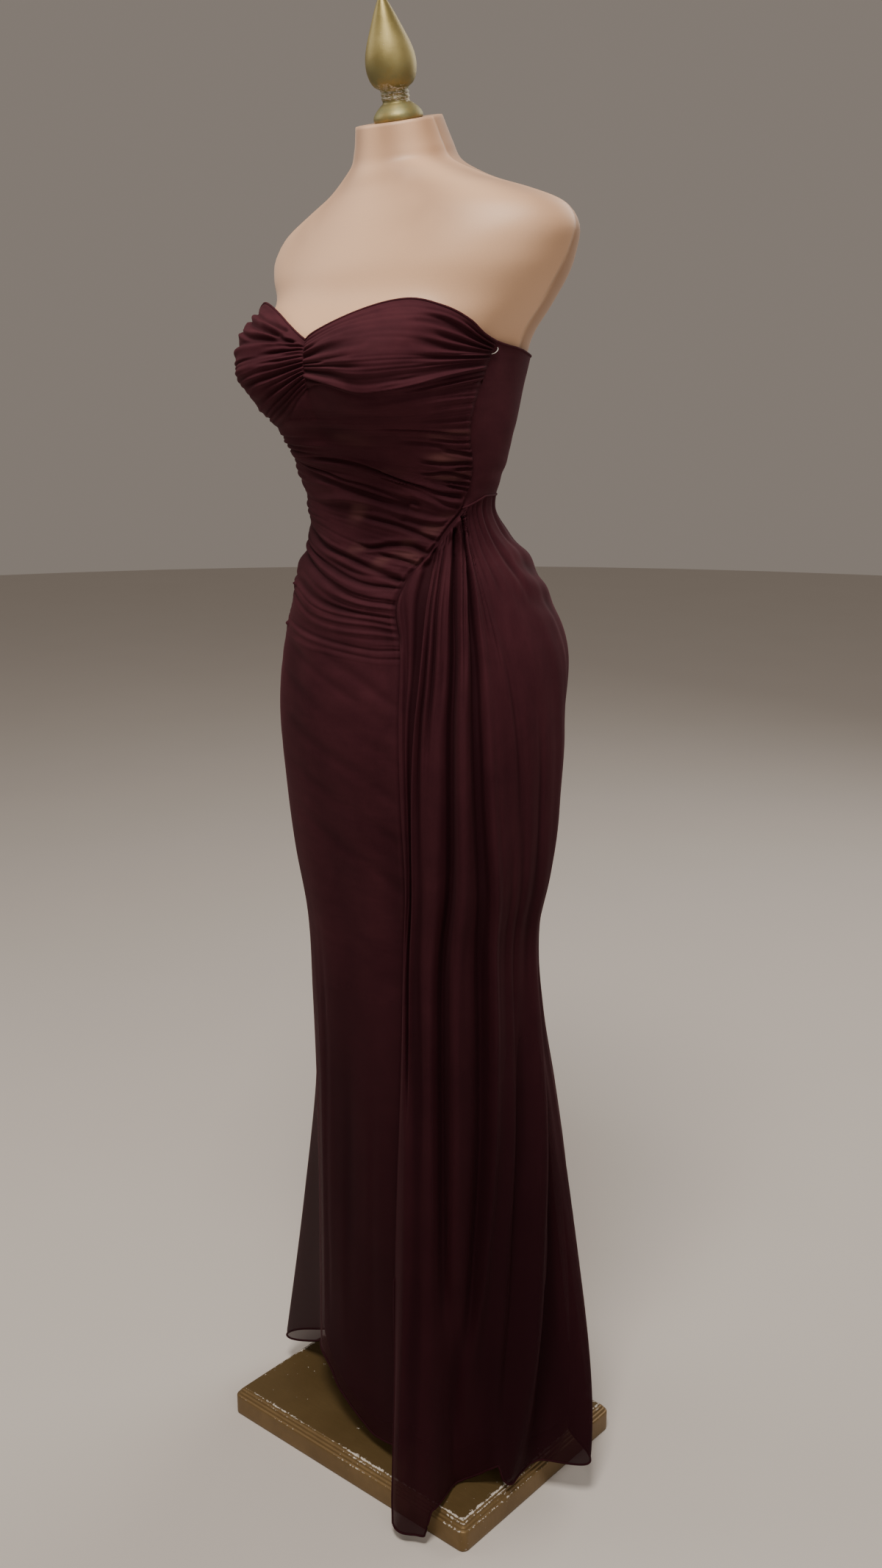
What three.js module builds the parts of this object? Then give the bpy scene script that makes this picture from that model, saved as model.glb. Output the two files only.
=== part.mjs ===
// Strapless chiffon gown, draped and ruched, on the limbless dress form that it is fitted to.
// Millimetres, +Z up. The gown faces -Y and the wearer's left is +X. The origin is the middle of
// the plinth's underside, on the floor.
//
// The form and the gown share one figure: horizontal sections, read from the tables below, around
// which an angle runs from 0 at centre front, through 90 at the wearer's left, to 180 at centre back
// (and through -90 at the wearer's right). A cloth piece is a patch of angle and height on the gown's
// outer face, moved out by its flare and folds, with its inner face one wall thickness behind it.
import * as THREE from 'three';

// ---- driving sizes ----
const PLINTH_WIDTH = 400;
const PLINTH_DEPTH = 300;
const PLINTH_HEIGHT = 36;
const PLINTH_CORNER_RADIUS = 9;
const POLE_RADIUS = 14;
const POLE_FOOT_RADIUS = 42;
const POLE_FOOT_HEIGHT = 9;
const FORM_BOTTOM = 790;
const NECK_TOP = 1603;
const NECK_TILT = 12.5;              // degrees that the neck and the finial lean forward
const SHOULDER_DROP = 13 / 190;      // the wearer's right shoulder is a little lower
const SHOULDER_LEAN = 6;             // and both lie a little to the wearer's left
const CLOTH_WALL = 2;
const CLOTH_OFFSET = 3.4;            // from the form to the outer face of the fitted cloth
const SEAM_GAP = 0.3;                // between two pieces that are sewn together
const BUST_BRIDGE = 8;               // how far the cups stand off the form at centre front
const FLARE_START = 740;             // height below which the skirt leaves its narrow line
const HEM = 45;
const KNOT = 1209.5;                 // height where the side-front seam meets the waist seam
const CUP_SIDE = 1340;               // height where it meets the left cup's lower edge
const CUP_SIDE_ANGLE = 79;
const SEAM_TOP = 1379;               // height where it meets the neckline
const SIDE_WAIST = 1221;             // height of the waist seam at the wearer's left side
const BACK_WAIST = 1219;
const RIGHT_SIDE = -88;              // angle of the side seam at the wearer's right
const CENTRE_BACK = 180;
const LINING_GAP = 0.8;
const LINING_WALL = 1.4;
const LINING_HEM = 52;

// ---- sections: height, half width, reach to the front, reach to the back, y of the widest line,
// ---- squareness (2 is an ellipse)
const FORM_SECTIONS = [
  [790, 166, 112, 122, 0, 2.1],
  [880, 174, 121, 124, 0, 2.1],
  [980, 176, 126, 131, -2, 2.1],
  [1060, 160, 120, 126, -8, 2.1],
  [1120, 138, 117, 103, -17, 2.0],
  [1170, 117, 108, 72, -20, 2.0],
  [1209, 113, 112, 49, -25, 2.0],
  [1260, 126, 128, 61, -22, 2.0],
  [1310, 134, 148, 71, -17, 2.1],
  [1345, 138, 156, 80, -12, 2.1],
  [1385, 146, 155, 91, -8, 2.1],
  [1420, 168, 127, 98, -2, 2.1],
  [1455, 190, 116, 100, 2, 2.1],
  [1485, 197, 102, 94, 3, 2.0],
  [1506, 178, 92, 84, 2, 2.0],
  [1522, 142, 84, 74, 0, 2.0],
  [1537, 101, 77, 64, -4, 2.0],
  [1549, 76, 73, 55, -9, 2.0],
  [1560, 60, 71, 45, -14, 2.0],
  [1578, 52, 71, 34, -19, 2.0],
  [1603, 46, 71, 19, -26, 2.0],
];
const SKIRT_SECTIONS = [
  [45, 159, 108, 176, 32, 2.1],
  [200, 156, 107, 162, 27, 2.1],
  [360, 151, 106, 152, 18, 2.1],
  [500, 148, 106, 138, 12, 2.1],
  [600, 148, 107, 122, 5, 2.1],
  [717, 153, 110, 116, 1, 2.1],
];
const GOWN_SECTIONS = [
  ...SKIRT_SECTIONS,
  ...FORM_SECTIONS.map(([z, side, front, back, middle, square]) => [
    z, side + CLOTH_OFFSET, front + CLOTH_OFFSET, back + CLOTH_OFFSET, middle, square,
  ]),
];

// one breast, mirrored on the other side; the gown's cups stay full above the form's own
const BUST = { x: 88, z: 1352, reach: 39, width: 66, below: 53, spread: 0.25 };
const FORM_BUST_ABOVE = 50;
const CUP_BUST_ABOVE = 72;

// ---- seams and edges of the cut ----
// the side-front seam, the gathered diagonal seam and the long seam down the skirt: height, angle
const LONG_SEAM = [
  [45, 22], [325, 22], [690, 25.5], [1050, 26.5], [1120, 29], [1140, 35], [1165, 48],
  [1190, 61], [KNOT, 72], [1225, 75], [1285, 73.5], [CUP_SIDE, CUP_SIDE_ANGLE], [SEAM_TOP, 81.5],
];
// sweetheart neckline, the same on both sides: angle from centre front, height
const NECKLINE = [
  [0, 1381], [8, 1394], [18, 1408], [34, 1419], [48, 1413], [65, 1399], [81.5, SEAM_TOP],
  [100, 1370], [140, 1363], [180, 1361],
];
// lower edge of the two cups: angle, height
const CUP_EDGE = [
  [-88, 1300], [-60, 1290], [-36, 1291], [-12, 1309], [0, 1331], [33, 1325], [60, 1330],
  [CUP_SIDE_ANGLE, CUP_SIDE],
];
// the left skirt's hem hangs past the plinth's front edge in a point: angle, height
const LEFT_HEM = [[27, 14], [33, 12], [36.5, 12], [38.5, 30], [39.6, 44], [42, 46], [180, 46]];

// ---- flare of the skirt at the hem: angle, reach ----
const FRONT_FLARE = [
  [-180, 24], [-120, 22], [-95, 14], [-75, 8], [-58, 0], [-5, 0], [8, 6], [24, 28],
];
const LEFT_FLARE = [[20, 38], [70, 38], [110, 30], [180, 24]];
// fullness that the waist gathers throw over the left hip
const HIP_FULLNESS = { angle: 122, width: 34, reach: 17 };

// ---- large folds, each a ridge that runs down the skirt ----
// angle and reach at these heights, then half widths in degrees at the hem and at the hip
const FOLD_HEIGHTS = [45, 275, 520, 845, 1050, 1180];
const FOLDS = [
  { on: ['left'], angle: [33.5, 33, 33, 34, 39, 60], reach: [66, 26, 13, 9, 7, 3], width: [9.5, 6], flat: 4 },
  { on: ['left'], angle: [52, 47, 49, 50.5, 53, 66], reach: [2, 6, 10, 9, 7, 3], width: [6, 4], flat: 2 },
  { on: ['left'], angle: [58, 64, 72, 67, 67, 74], reach: [2, 6, 8, 5, 4, 2], width: [8, 7], flat: 2 },
  { on: ['left'], angle: [62.5, 81, 98, 104, 104, 104], reach: [28, 20, 12, 4, 2, 0], width: [6, 9], flat: 2 },
  { on: ['left'], angle: [88, 108, 124, 126, 126, 126], reach: [60, 26, 8, 0, 0, 0], width: [7.5, 15], flat: 2 },
  { on: ['left', 'right'], angle: [125, 135, 142, 144, 144, 144], reach: [15, 9, 3, 0, 0, 0], width: [10, 12], flat: 2 },
  { on: ['left', 'right'], angle: [153, 155, 157, 157, 157, 157], reach: [20, 12, 4, 0, 0, 0], width: [9, 12], flat: 2 },
  { on: ['left', 'right'], angle: [182, 182, 182, 182, 182, 182], reach: [14, 8, 2, 0, 0, 0], width: [9, 12], flat: 2 },
  { on: ['left', 'right'], angle: [212, 210, 208, 208, 208, 208], reach: [22, 13, 4, 0, 0, 0], width: [10, 12], flat: 2 },
  { on: ['right'], angle: [245, 243, 241, 240, 240, 240], reach: [18, 10, 3, 0, 0, 0], width: [9, 12], flat: 2 },
  { on: ['right'], angle: [284, 284, 285, 290, 290, 290], reach: [68, 34, 5, 0, 0, 0], width: [8, 9], flat: 2 },
];
// ruching across the front panel, one soft ridge after the other down the body
const RUCHING = { pitch: 29, depth: 2.4, top: 1335, bottom: 1050 };

// ---- grid of the patches ----
// heights of the rows where they meet the long seam: widely spaced below the hip, close above it
const WIDE_ROWS = [45, 115, 190, 275, 360, 440, 520, 600, 680, 740, 790, 845, 910, 980];
const CLOSE_ROW = 14.5;
const CLOSE_ROWS = 20;
const ROWS = [...WIDE_ROWS];
for (let i = 0; i <= CLOSE_ROWS; i += 1) {
  ROWS.push(1050 + CLOSE_ROW * i);
}
const WAIST_ROW = ROWS.indexOf(KNOT);
const CUP_ROW = ROWS.length - 1;
const CUP_ROWS = 6;
const SEAM_HEM_SHIFT = 5;            // degrees that the left skirt's free edge swings back at the hem
// angles of the columns of the front panel and of the cups, from the side seam to centre front,
// and on to the long seam (there a share of the way)
const FRONT_COLUMNS = [-88, -81.5, -76, -70.5, -63, -54, -44, -33, -22, -11, 0];
const FRONT_SHARES = 10;
// angles of the left skirt's columns at the hem, close together where its folds are
const LEFT_COLUMNS = [
  27, 30, 33, 36.5, 38.5, 39.6, 42, 45, 49, 52.5, 56.5, 60, 63, 66, 70, 75, 80, 84, 88, 92, 97,
  103, 111, 120, 128, 136, 145, 154, 163, 172, 180,
];

// ---- colours ----
const WINE = { color: 0x42151f, roughness: 0.72, metalness: 0 };
const LINING_WINE = { color: 0x33101a, roughness: 0.8, metalness: 0 };
const JERSEY = { color: 0xd9bda6, roughness: 0.85, metalness: 0 };
const BRONZE_PAINT = { color: 0x8a744c, roughness: 0.5, metalness: 0.3 };
const GOLD_PAINT = { color: 0x9a8550, roughness: 0.35, metalness: 0.6 };
const STEEL = { color: 0x77787a, roughness: 0.4, metalness: 0.9 };

// ================= helpers =================
const radians = THREE.MathUtils.degToRad;
const smooth = THREE.MathUtils.smoothstep;
const bell = (x, power = 2) => Math.exp(-(Math.abs(x) ** power));

// the row of values at x, on a smooth curve through the rows of a table whose first column is x
function between(table, x) {
  const last = table.length - 1;
  const at = Math.min(Math.max(x, table[0][0]), table[last][0]);
  let i = 0;
  while (i < last - 1 && at >= table[i + 1][0]) {
    i += 1;
  }
  const slope = (j, c) => (table[j + 1][c] - table[j][c]) / (table[j + 1][0] - table[j][0]);
  const tangent = (j, c) => {
    if (j === 0) return slope(0, c);
    if (j === last) return slope(last - 1, c);
    const before = table[j][0] - table[j - 1][0];
    const after = table[j + 1][0] - table[j][0];
    return (slope(j, c) * before + slope(j - 1, c) * after) / (before + after);
  };
  const length = table[i + 1][0] - table[i][0];
  const s = (at - table[i][0]) / length;
  return table[i].slice(1).map((value, k) => {
    const c = k + 1;
    return (2 * s ** 3 - 3 * s ** 2 + 1) * value
      + (s ** 3 - 2 * s ** 2 + s) * length * tangent(i, c)
      + (-2 * s ** 3 + 3 * s ** 2) * table[i + 1][c]
      + (s ** 3 - s ** 2) * length * tangent(i + 1, c);
  });
}

const along = (table, x) => between(table, x)[0];

// straight lines between the values of two lists
function linear(places, values, x) {
  const last = places.length - 1;
  if (x <= places[0]) return values[0];
  if (x >= places[last]) return values[last];
  let i = 0;
  while (x > places[i + 1]) {
    i += 1;
  }
  const share = (x - places[i]) / (places[i + 1] - places[i]);
  return values[i] + (values[i + 1] - values[i]) * share;
}

// a closed solid from its triangles
function solid(positions, faces) {
  const geometry = new THREE.BufferGeometry();
  geometry.setAttribute('position', new THREE.Float32BufferAttribute(positions.flat(), 3));
  geometry.setIndex(faces.flat());
  geometry.computeVertexNormals();
  return geometry;
}

// closed rings of points, anticlockwise from above and one above the other, capped at both ends
function stackedRings(rings) {
  const count = rings[0].length;
  const positions = rings.flat().map((p) => [p.x, p.y, p.z]);
  const faces = [];
  for (let k = 0; k + 1 < rings.length; k += 1) {
    for (let j = 0; j < count; j += 1) {
      const a = k * count + j;
      const b = k * count + (j + 1) % count;
      faces.push([a, b, b + count], [a, b + count, a + count]);
    }
  }
  for (const [ring, start, up] of [[rings[0], 0, false], [rings.at(-1), (rings.length - 1) * count, true]]) {
    const middle = ring.reduce((sum, p) => sum.add(p), new THREE.Vector3()).divideScalar(count);
    const hub = positions.length;
    positions.push([middle.x, middle.y, middle.z]);
    for (let j = 0; j < count; j += 1) {
      const a = start + j;
      const b = start + (j + 1) % count;
      faces.push(up ? [a, b, hub] : [b, a, hub]);
    }
  }
  return solid(positions, faces);
}

// a wall between an outer and an inner grid of points, closed along its four edges;
// columns run to the wearer's left and rows run up
function wall(outer, inner) {
  const rows = outer.length;
  const columns = outer[0].length;
  const positions = [...outer.flat(), ...inner.flat()].map((p) => [p.x, p.y, p.z]);
  const behind = rows * columns;
  const at = (k, j) => k * columns + j;
  const faces = [];
  for (let k = 0; k + 1 < rows; k += 1) {
    for (let j = 0; j + 1 < columns; j += 1) {
      const [a, b, c, d] = [at(k, j), at(k, j + 1), at(k + 1, j + 1), at(k + 1, j)];
      faces.push([a, b, c], [a, c, d]);
      faces.push([behind + a, behind + c, behind + b], [behind + a, behind + d, behind + c]);
    }
  }
  const edge = (a, b) => faces.push([a, behind + a, behind + b], [a, behind + b, b]);
  for (let j = 0; j + 1 < columns; j += 1) {
    edge(at(0, j), at(0, j + 1));
    edge(at(rows - 1, j + 1), at(rows - 1, j));
  }
  for (let k = 0; k + 1 < rows; k += 1) {
    edge(at(k + 1, 0), at(k, 0));
    edge(at(k, columns - 1), at(k + 1, columns - 1));
  }
  return solid(positions, faces);
}

// ================= the figure =================
function sectionPoint(sections, bustAbove, angle, z) {
  const [side, front, back, middle, square] = between(sections, z);
  const sin = Math.sin(radians(angle));
  const cos = Math.cos(radians(angle));
  const depth = cos > 0 ? -(front + middle) : back - middle;
  const point = new THREE.Vector3(
    side * Math.sign(sin) * Math.abs(sin) ** (2 / square),
    middle + depth * Math.abs(cos) ** (2 / square),
    z,
  );
  const height = (z - BUST.z) / (z > BUST.z ? bustAbove : BUST.below);
  const across = (Math.abs(point.x) - BUST.x) / BUST.width;
  const bust = BUST.reach * bell(across) * bell(height) * smooth(cos, 0, 0.35);
  point.y -= bust;
  point.x += Math.tanh(point.x / 25) * BUST.spread * bust;
  return { point, middle, cos };
}

function formPoint(angle, z) {
  const { point, middle } = sectionPoint(FORM_SECTIONS, FORM_BUST_ABOVE, angle, z);
  const tilt = Math.tan(radians(NECK_TILT)) * smooth(z, 1520, NECK_TOP);
  const drop = SHOULDER_DROP * smooth(z, 1400, 1490) * (1 - smooth(z, 1545, 1575));
  point.z += (point.y - middle) * tilt + point.x * drop;
  point.x += SHOULDER_LEAN * smooth(z, 1385, 1450) * (1 - smooth(z, 1500, 1560));
  return point;
}

// the gown's outer face before its flare and folds
function gownBase(angle, z) {
  const { point, cos } = sectionPoint(GOWN_SECTIONS, CUP_BUST_ABOVE, angle, z);
  point.y -= BUST_BRIDGE * bell((z - 1350) / 55) * smooth(cos, -0.2, 0.9);
  return point;
}

function normalOf(surface, angle, z) {
  const across = surface(angle + 0.2, z).sub(surface(angle - 0.2, z));
  const up = surface(angle, z + 0.5).sub(surface(angle, z - 0.5));
  return across.cross(up).normalize();
}

// ================= flare, folds and ruching =================
function skirtRelief(angle, z, on) {
  const share = THREE.MathUtils.clamp((FLARE_START - z) / (FLARE_START - HEM), 0, 1);
  let reach = share * Math.max(0, along(on === 'left' ? LEFT_FLARE : FRONT_FLARE, angle));
  if (on === 'left') {
    const { angle: centre, width, reach: fullness } = HIP_FULLNESS;
    reach += fullness * bell((angle - centre) / width) * (1 - smooth(z, 1130, 1208))
      * (0.15 + 0.85 * smooth(z, 960, 1060)) * smooth(z, 780, 860);
  }
  for (const fold of FOLDS.filter((f) => f.on.includes(on))) {
    const centre = linear(FOLD_HEIGHTS, fold.angle, z);
    const width = linear([HEM, 1050], fold.width, z);
    const apart = THREE.MathUtils.euclideanModulo(angle - centre + 180, 360) - 180;
    reach += linear(FOLD_HEIGHTS, fold.reach, z) * bell(apart / width, fold.flat);
  }
  return reach;
}

function frontRelief(angle, z) {
  const { pitch, depth, top, bottom } = RUCHING;
  const inside = smooth(z, bottom, bottom + 60) * (1 - smooth(z, top - 20, top));
  const slant = 0.35 * (angle + 30);
  const wave = 0.5 + 0.5 * Math.cos((2 * Math.PI * (z + slant)) / pitch);
  return skirtRelief(angle, z, 'right') + depth * inside * wave;
}

// ================= cloth pieces =================
// a patch: angles[k][j] and heights[k][j] of its grid, and its relief
function clothPiece(angles, heights, relief, wallThickness = CLOTH_WALL, sunk = 0) {
  const surface = (angle, z) => {
    const point = gownBase(angle, z);
    return point.addScaledVector(normalOf(gownBase, angle, z), relief(angle, z) - sunk);
  };
  const lastColumn = angles[0].length - 1;
  const outer = [];
  const inner = [];
  angles.forEach((row, k) => {
    outer.push([]);
    inner.push([]);
    row.forEach((angle, j) => {
      const z = heights[k][j];
      const point = surface(angle, z);
      const atSeam = j === 0 || j === lastColumn;
      const normal = normalOf(atSeam ? gownBase : surface, angle, z);
      outer[k].push(point);
      inner[k].push(point.clone().addScaledVector(normal, -wallThickness));
    });
  });
  return wall(outer, inner);
}

// degrees that make half a seam gap on a section of the figure
const HALF_GAP = THREE.MathUtils.radToDeg(SEAM_GAP / 2 / 110);
const HALF_LEVEL = SEAM_GAP / 2;
const seamAngle = (z) => along(LONG_SEAM, z);
const spread = (from, to, share) => from + (to - from) * share;
const steps = (count) => Array.from({ length: count + 1 }, (unused, i) => i / count);
const neckline = (angle) => along(NECKLINE, Math.abs(angle));
const cupEdge = (angle) => along(CUP_EDGE, angle);
const CUP_LEVELS = steps(CUP_ROWS).map((share) => spread(CUP_SIDE, SEAM_TOP, share));
// the waist seam rises from the knot to the side, and is level round the back
const SIDE_SHARE = (90 - 72) / (CENTRE_BACK - 72);
const waistLeft = (share) => (share < SIDE_SHARE
  ? spread(KNOT, SIDE_WAIST, share / SIDE_SHARE)
  : spread(SIDE_WAIST, BACK_WAIST, (share - SIDE_SHARE) / (1 - SIDE_SHARE)));
const waistRight = (share) => spread(BACK_WAIST, KNOT, share);

// half the gap along the long seam, wider in degrees where the seam runs aslant
function seamGap(level) {
  const slant = (radians(seamAngle(level + 4) - seamAngle(level - 4)) / 8) * 110;
  return HALF_GAP * Math.hypot(1, slant);
}

// heights of a row of the front panel at an angle: level at the long seam, up to the cups' edge
function frontHeight(row, angle) {
  const level = ROWS[row];
  const rise = smooth(level, KNOT, CUP_SIDE);
  return level + (cupEdge(angle) - cupEdge(seamAngle(level))) * rise;
}

function frontPanel() {
  const angles = ROWS.map((level) => {
    // the panel narrows to the left below the bust, and its columns close up with it
    const end = seamAngle(level) - seamGap(level);
    const centre = (end - RIGHT_SIDE) * (-RIGHT_SIDE / (CUP_SIDE_ANGLE - RIGHT_SIDE)) + RIGHT_SIDE;
    return [
      ...FRONT_COLUMNS.map((angle, j) => (
        j === 0 ? RIGHT_SIDE + HALF_GAP : spread(RIGHT_SIDE, centre, 1 - angle / RIGHT_SIDE))),
      ...steps(FRONT_SHARES).slice(1).map((share) => spread(centre, end, share)),
    ];
  });
  const heights = angles.map((row, k) => row.map((angle) => (
    frontHeight(k, angle) - (k === CUP_ROW ? HALF_LEVEL : 0))));
  return clothPiece(angles, heights, frontRelief);
}

// a cup, from the front panel's upper edge to the neckline
function cup(side) {
  const angles = [];
  const heights = [];
  CUP_LEVELS.forEach((level, k) => {
    const edge = seamAngle(level);
    const share = k / CUP_ROWS;
    const row = side > 0
      ? steps(FRONT_SHARES).map((c) => spread(HALF_GAP, edge - seamGap(level), c))
      : FRONT_COLUMNS.map((angle) => (
        THREE.MathUtils.clamp(angle, RIGHT_SIDE + HALF_GAP, -HALF_GAP)));
    const lift = k === 0 ? SEAM_GAP : 0;
    angles.push(row);
    heights.push(row.map((angle) => spread(cupEdge(angle), neckline(angle), share) + lift));
    if (side > 0) {
      const miss = level - spread(cupEdge(edge), neckline(edge), share);
      heights[k] = heights[k].map((z, j) => z + miss * (j / FRONT_SHARES) ** 2);
    }
  });
  return clothPiece(angles, heights, () => 0);
}

function bodiceLeft() {
  const levels = [...ROWS.slice(WAIST_ROW), ...CUP_LEVELS.slice(1)];
  const columns = steps(12);
  const angles = levels.map((level) => columns.map((share) => spread(
    seamAngle(level) + seamGap(level), CENTRE_BACK - HALF_GAP, share,
  )));
  const heights = levels.map((level, k) => columns.map((share) => {
    const up = (level - KNOT) / (SEAM_TOP - KNOT);
    const top = neckline(spread(81.5, CENTRE_BACK, share));
    return spread(waistLeft(share), top, up) + (k === 0 ? HALF_LEVEL : 0);
  }));
  return clothPiece(angles, heights, () => 0);
}

function bodiceRight() {
  const top = neckline(RIGHT_SIDE);
  const cupBottom = cupEdge(RIGHT_SIDE);
  const levels = [
    ...ROWS.slice(WAIST_ROW).map((unused, i) => frontHeight(WAIST_ROW + i, RIGHT_SIDE)),
    ...steps(CUP_ROWS).slice(1).map((share) => spread(cupBottom, top, share)),
  ];
  const columns = steps(12);
  const angles = levels.map(() => columns.map((share) => spread(
    -CENTRE_BACK + HALF_GAP, RIGHT_SIDE - HALF_GAP, share,
  )));
  const heights = levels.map((level, k) => columns.map((share, j) => {
    const up = (level - KNOT) / (top - KNOT);
    return spread(waistRight(share), neckline(angles[k][j]), up) + (k === 0 ? HALF_LEVEL : 0);
  }));
  return clothPiece(angles, heights, () => 0);
}

// rows of a skirt piece: from its hem, level over the thigh, up to the waist seam
function skirtHeights(columns, hem, waist) {
  return ROWS.slice(0, WAIST_ROW + 1).map((level, k) => columns.map((share) => {
    const drop = (hem(share) - HEM) * (1 - smooth(level, HEM, 285));
    const rise = (waist(share) - KNOT) * THREE.MathUtils.clamp((level - 1050) / (KNOT - 1050), 0, 1);
    return level + drop + rise - (k === WAIST_ROW ? HALF_LEVEL : 0);
  }));
}

function skirtLeft() {
  const columns = LEFT_COLUMNS.map((angle) => (
    (angle - LEFT_COLUMNS[0]) / (CENTRE_BACK - LEFT_COLUMNS[0])));
  const angles = ROWS.slice(0, WAIST_ROW + 1).map((level) => {
    const swing = SEAM_HEM_SHIFT * (1 - smooth(level, HEM, 285));
    const edge = seamAngle(level) + seamGap(level) + swing;
    return columns.map((share) => spread(edge, CENTRE_BACK - HALF_GAP, share));
  });
  const hem = (share) => linear(
    LEFT_HEM.map((row) => row[0]),
    LEFT_HEM.map((row) => row[1]),
    spread(LEFT_COLUMNS[0], CENTRE_BACK, share),
  );
  const heights = skirtHeights(columns, hem, waistLeft);
  return clothPiece(angles, heights, (angle, z) => skirtRelief(angle, z, 'left'));
}

function skirtBackRight() {
  const columns = steps(10);
  const angles = ROWS.slice(0, WAIST_ROW + 1).map(() => columns.map((share) => spread(
    -CENTRE_BACK + HALF_GAP, RIGHT_SIDE - HALF_GAP, share,
  )));
  const heights = skirtHeights(columns, () => HEM, waistRight);
  return clothPiece(angles, heights, (angle, z) => skirtRelief(angle, z, 'right'));
}

// half of the opaque underskirt, from just above the knee, where it first shows, to its hem
function liningHalf(from, to) {
  const levels = [LINING_HEM, ...ROWS.slice(1, 10)];
  const angles = levels.map(() => steps(12).map((share) => spread(from + HALF_GAP, to - HALF_GAP, share)));
  const heights = angles.map((row, k) => row.map(() => levels[k]));
  return clothPiece(angles, heights, () => 0, LINING_WALL, CLOTH_WALL + LINING_GAP);
}

// ================= form, stand and finial =================
function torso() {
  const columns = 40;
  const shoulders = [
    1360, 1385, 1405, 1425, 1445, 1465, 1485, 1500, 1512, 1522, 1531, 1540, 1548, 1556, 1565, 1578,
    1590, NECK_TOP,
  ];
  const body = ROWS.filter((z, k) => (
    z > FORM_BOTTOM && (z < 1050 || k % 2 === 0 || Math.abs(z - KNOT) < 50)));
  const levels = [FORM_BOTTOM, ...body, ...shoulders];
  const rings = levels.map((z) => Array.from({ length: columns }, (unused, j) => (
    formPoint((360 * j) / columns - CENTRE_BACK, z))));
  return stackedRings(rings);
}

function plinth() {
  // inset and height of each edge of the side: a flat face, then two beads up to the top panel
  const profile = [
    [0.8, 0], [0, 0.8], [0, 26], [0.8, 26.8], [3, 27], [3.4, 29.6], [4.4, 30.4],
    [6, 30.6], [6.4, 33], [7.4, 33.8], [9, 34], [9.6, PLINTH_HEIGHT],
  ];
  const cornerSteps = 4;
  const rings = profile.map(([inset, z]) => {
    const ring = [];
    for (const [sx, sy, start] of [[1, -1, 270], [1, 1, 0], [-1, 1, 90], [-1, -1, 180]]) {
      const radius = Math.max(PLINTH_CORNER_RADIUS - inset, 2);
      const x = sx * (PLINTH_WIDTH / 2 - inset - radius);
      const y = sy * (PLINTH_DEPTH / 2 - inset - radius);
      for (let i = 0; i <= cornerSteps; i += 1) {
        const turn = radians(start + (90 * i) / cornerSteps);
        ring.push(new THREE.Vector3(x + radius * Math.cos(turn), y + radius * Math.sin(turn), z));
      }
    }
    return ring;
  });
  return stackedRings(rings);
}

// a lathe turns around Y, so its solid is stood up along Z
function turned(profile, segments) {
  const geometry = new THREE.LatheGeometry(profile.map(([r, z]) => new THREE.Vector2(r, z)), segments);
  return geometry.rotateX(Math.PI / 2);
}

function pole() {
  const foot = PLINTH_HEIGHT + SEAM_GAP;
  const top = FORM_BOTTOM - SEAM_GAP;
  return turned([
    [0, foot], [POLE_FOOT_RADIUS, foot], [POLE_FOOT_RADIUS, foot + POLE_FOOT_HEIGHT - 3],
    [POLE_FOOT_RADIUS - 3, foot + POLE_FOOT_HEIGHT], [POLE_RADIUS + 4, foot + POLE_FOOT_HEIGHT],
    [POLE_RADIUS, foot + POLE_FOOT_HEIGHT + 6], [POLE_RADIUS, top], [0, top],
  ], 20);
}

function finial() {
  // radius and height above the neck: saucer, ribbed waist, then the drop-shaped bulb
  return turned([
    [0, 0], [25.5, 0], [26.2, 3], [25, 7], [22, 11], [17.5, 15], [14.6, 17], [14.2, 20],
    [15, 22], [14, 24], [15, 26], [14, 28], [15, 30], [18.5, 32.5], [22.6, 37], [25.4, 44], [26.6, 53],
    [25.8, 62], [23.4, 71], [20, 80], [15.8, 90], [11.6, 100], [7.4, 109], [4.2, 115], [2.4, 118], [0, 119],
  ], 24);
}

// ================= the zip's slider and pull, at the top of centre back =================
const ZIP = { z: 1349, length: 9, width: 3, plate: 1.6, arch: 1, hole: 1.8, holeLength: 4 };

function zipSlider() {
  // side view, along the back: plate with an arch over a hole, then extruded across the seam
  const { length, plate, hole, holeLength, arch, width } = ZIP;
  const outline = new THREE.Shape();
  outline.moveTo(-length / 2, 0);
  outline.lineTo(length / 2, 0);
  outline.lineTo(length / 2, plate);
  outline.lineTo(holeLength / 2 + arch, plate);
  outline.lineTo(holeLength / 2 + arch, plate + hole);
  outline.lineTo(holeLength / 2, plate + hole + arch);
  outline.lineTo(-holeLength / 2, plate + hole + arch);
  outline.lineTo(-holeLength / 2 - arch, plate + hole);
  outline.lineTo(-holeLength / 2 - arch, plate);
  outline.lineTo(-length / 2, plate);
  const eye = new THREE.Path();
  eye.moveTo(-holeLength / 2, plate + 0.1);
  eye.lineTo(-holeLength / 2, plate + hole);
  eye.lineTo(holeLength / 2, plate + hole);
  eye.lineTo(holeLength / 2, plate + 0.1);
  outline.holes.push(eye);
  const geometry = new THREE.ExtrudeGeometry(outline, { depth: width, bevelEnabled: false });
  // the outline's x runs up the back and its y runs out of it
  geometry.applyMatrix4(new THREE.Matrix4().makeBasis(
    new THREE.Vector3(0, 0, 1), new THREE.Vector3(0, 1, 0), new THREE.Vector3(-1, 0, 0),
  ));
  return geometry.translate(width / 2, 0, 0);
}

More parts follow.
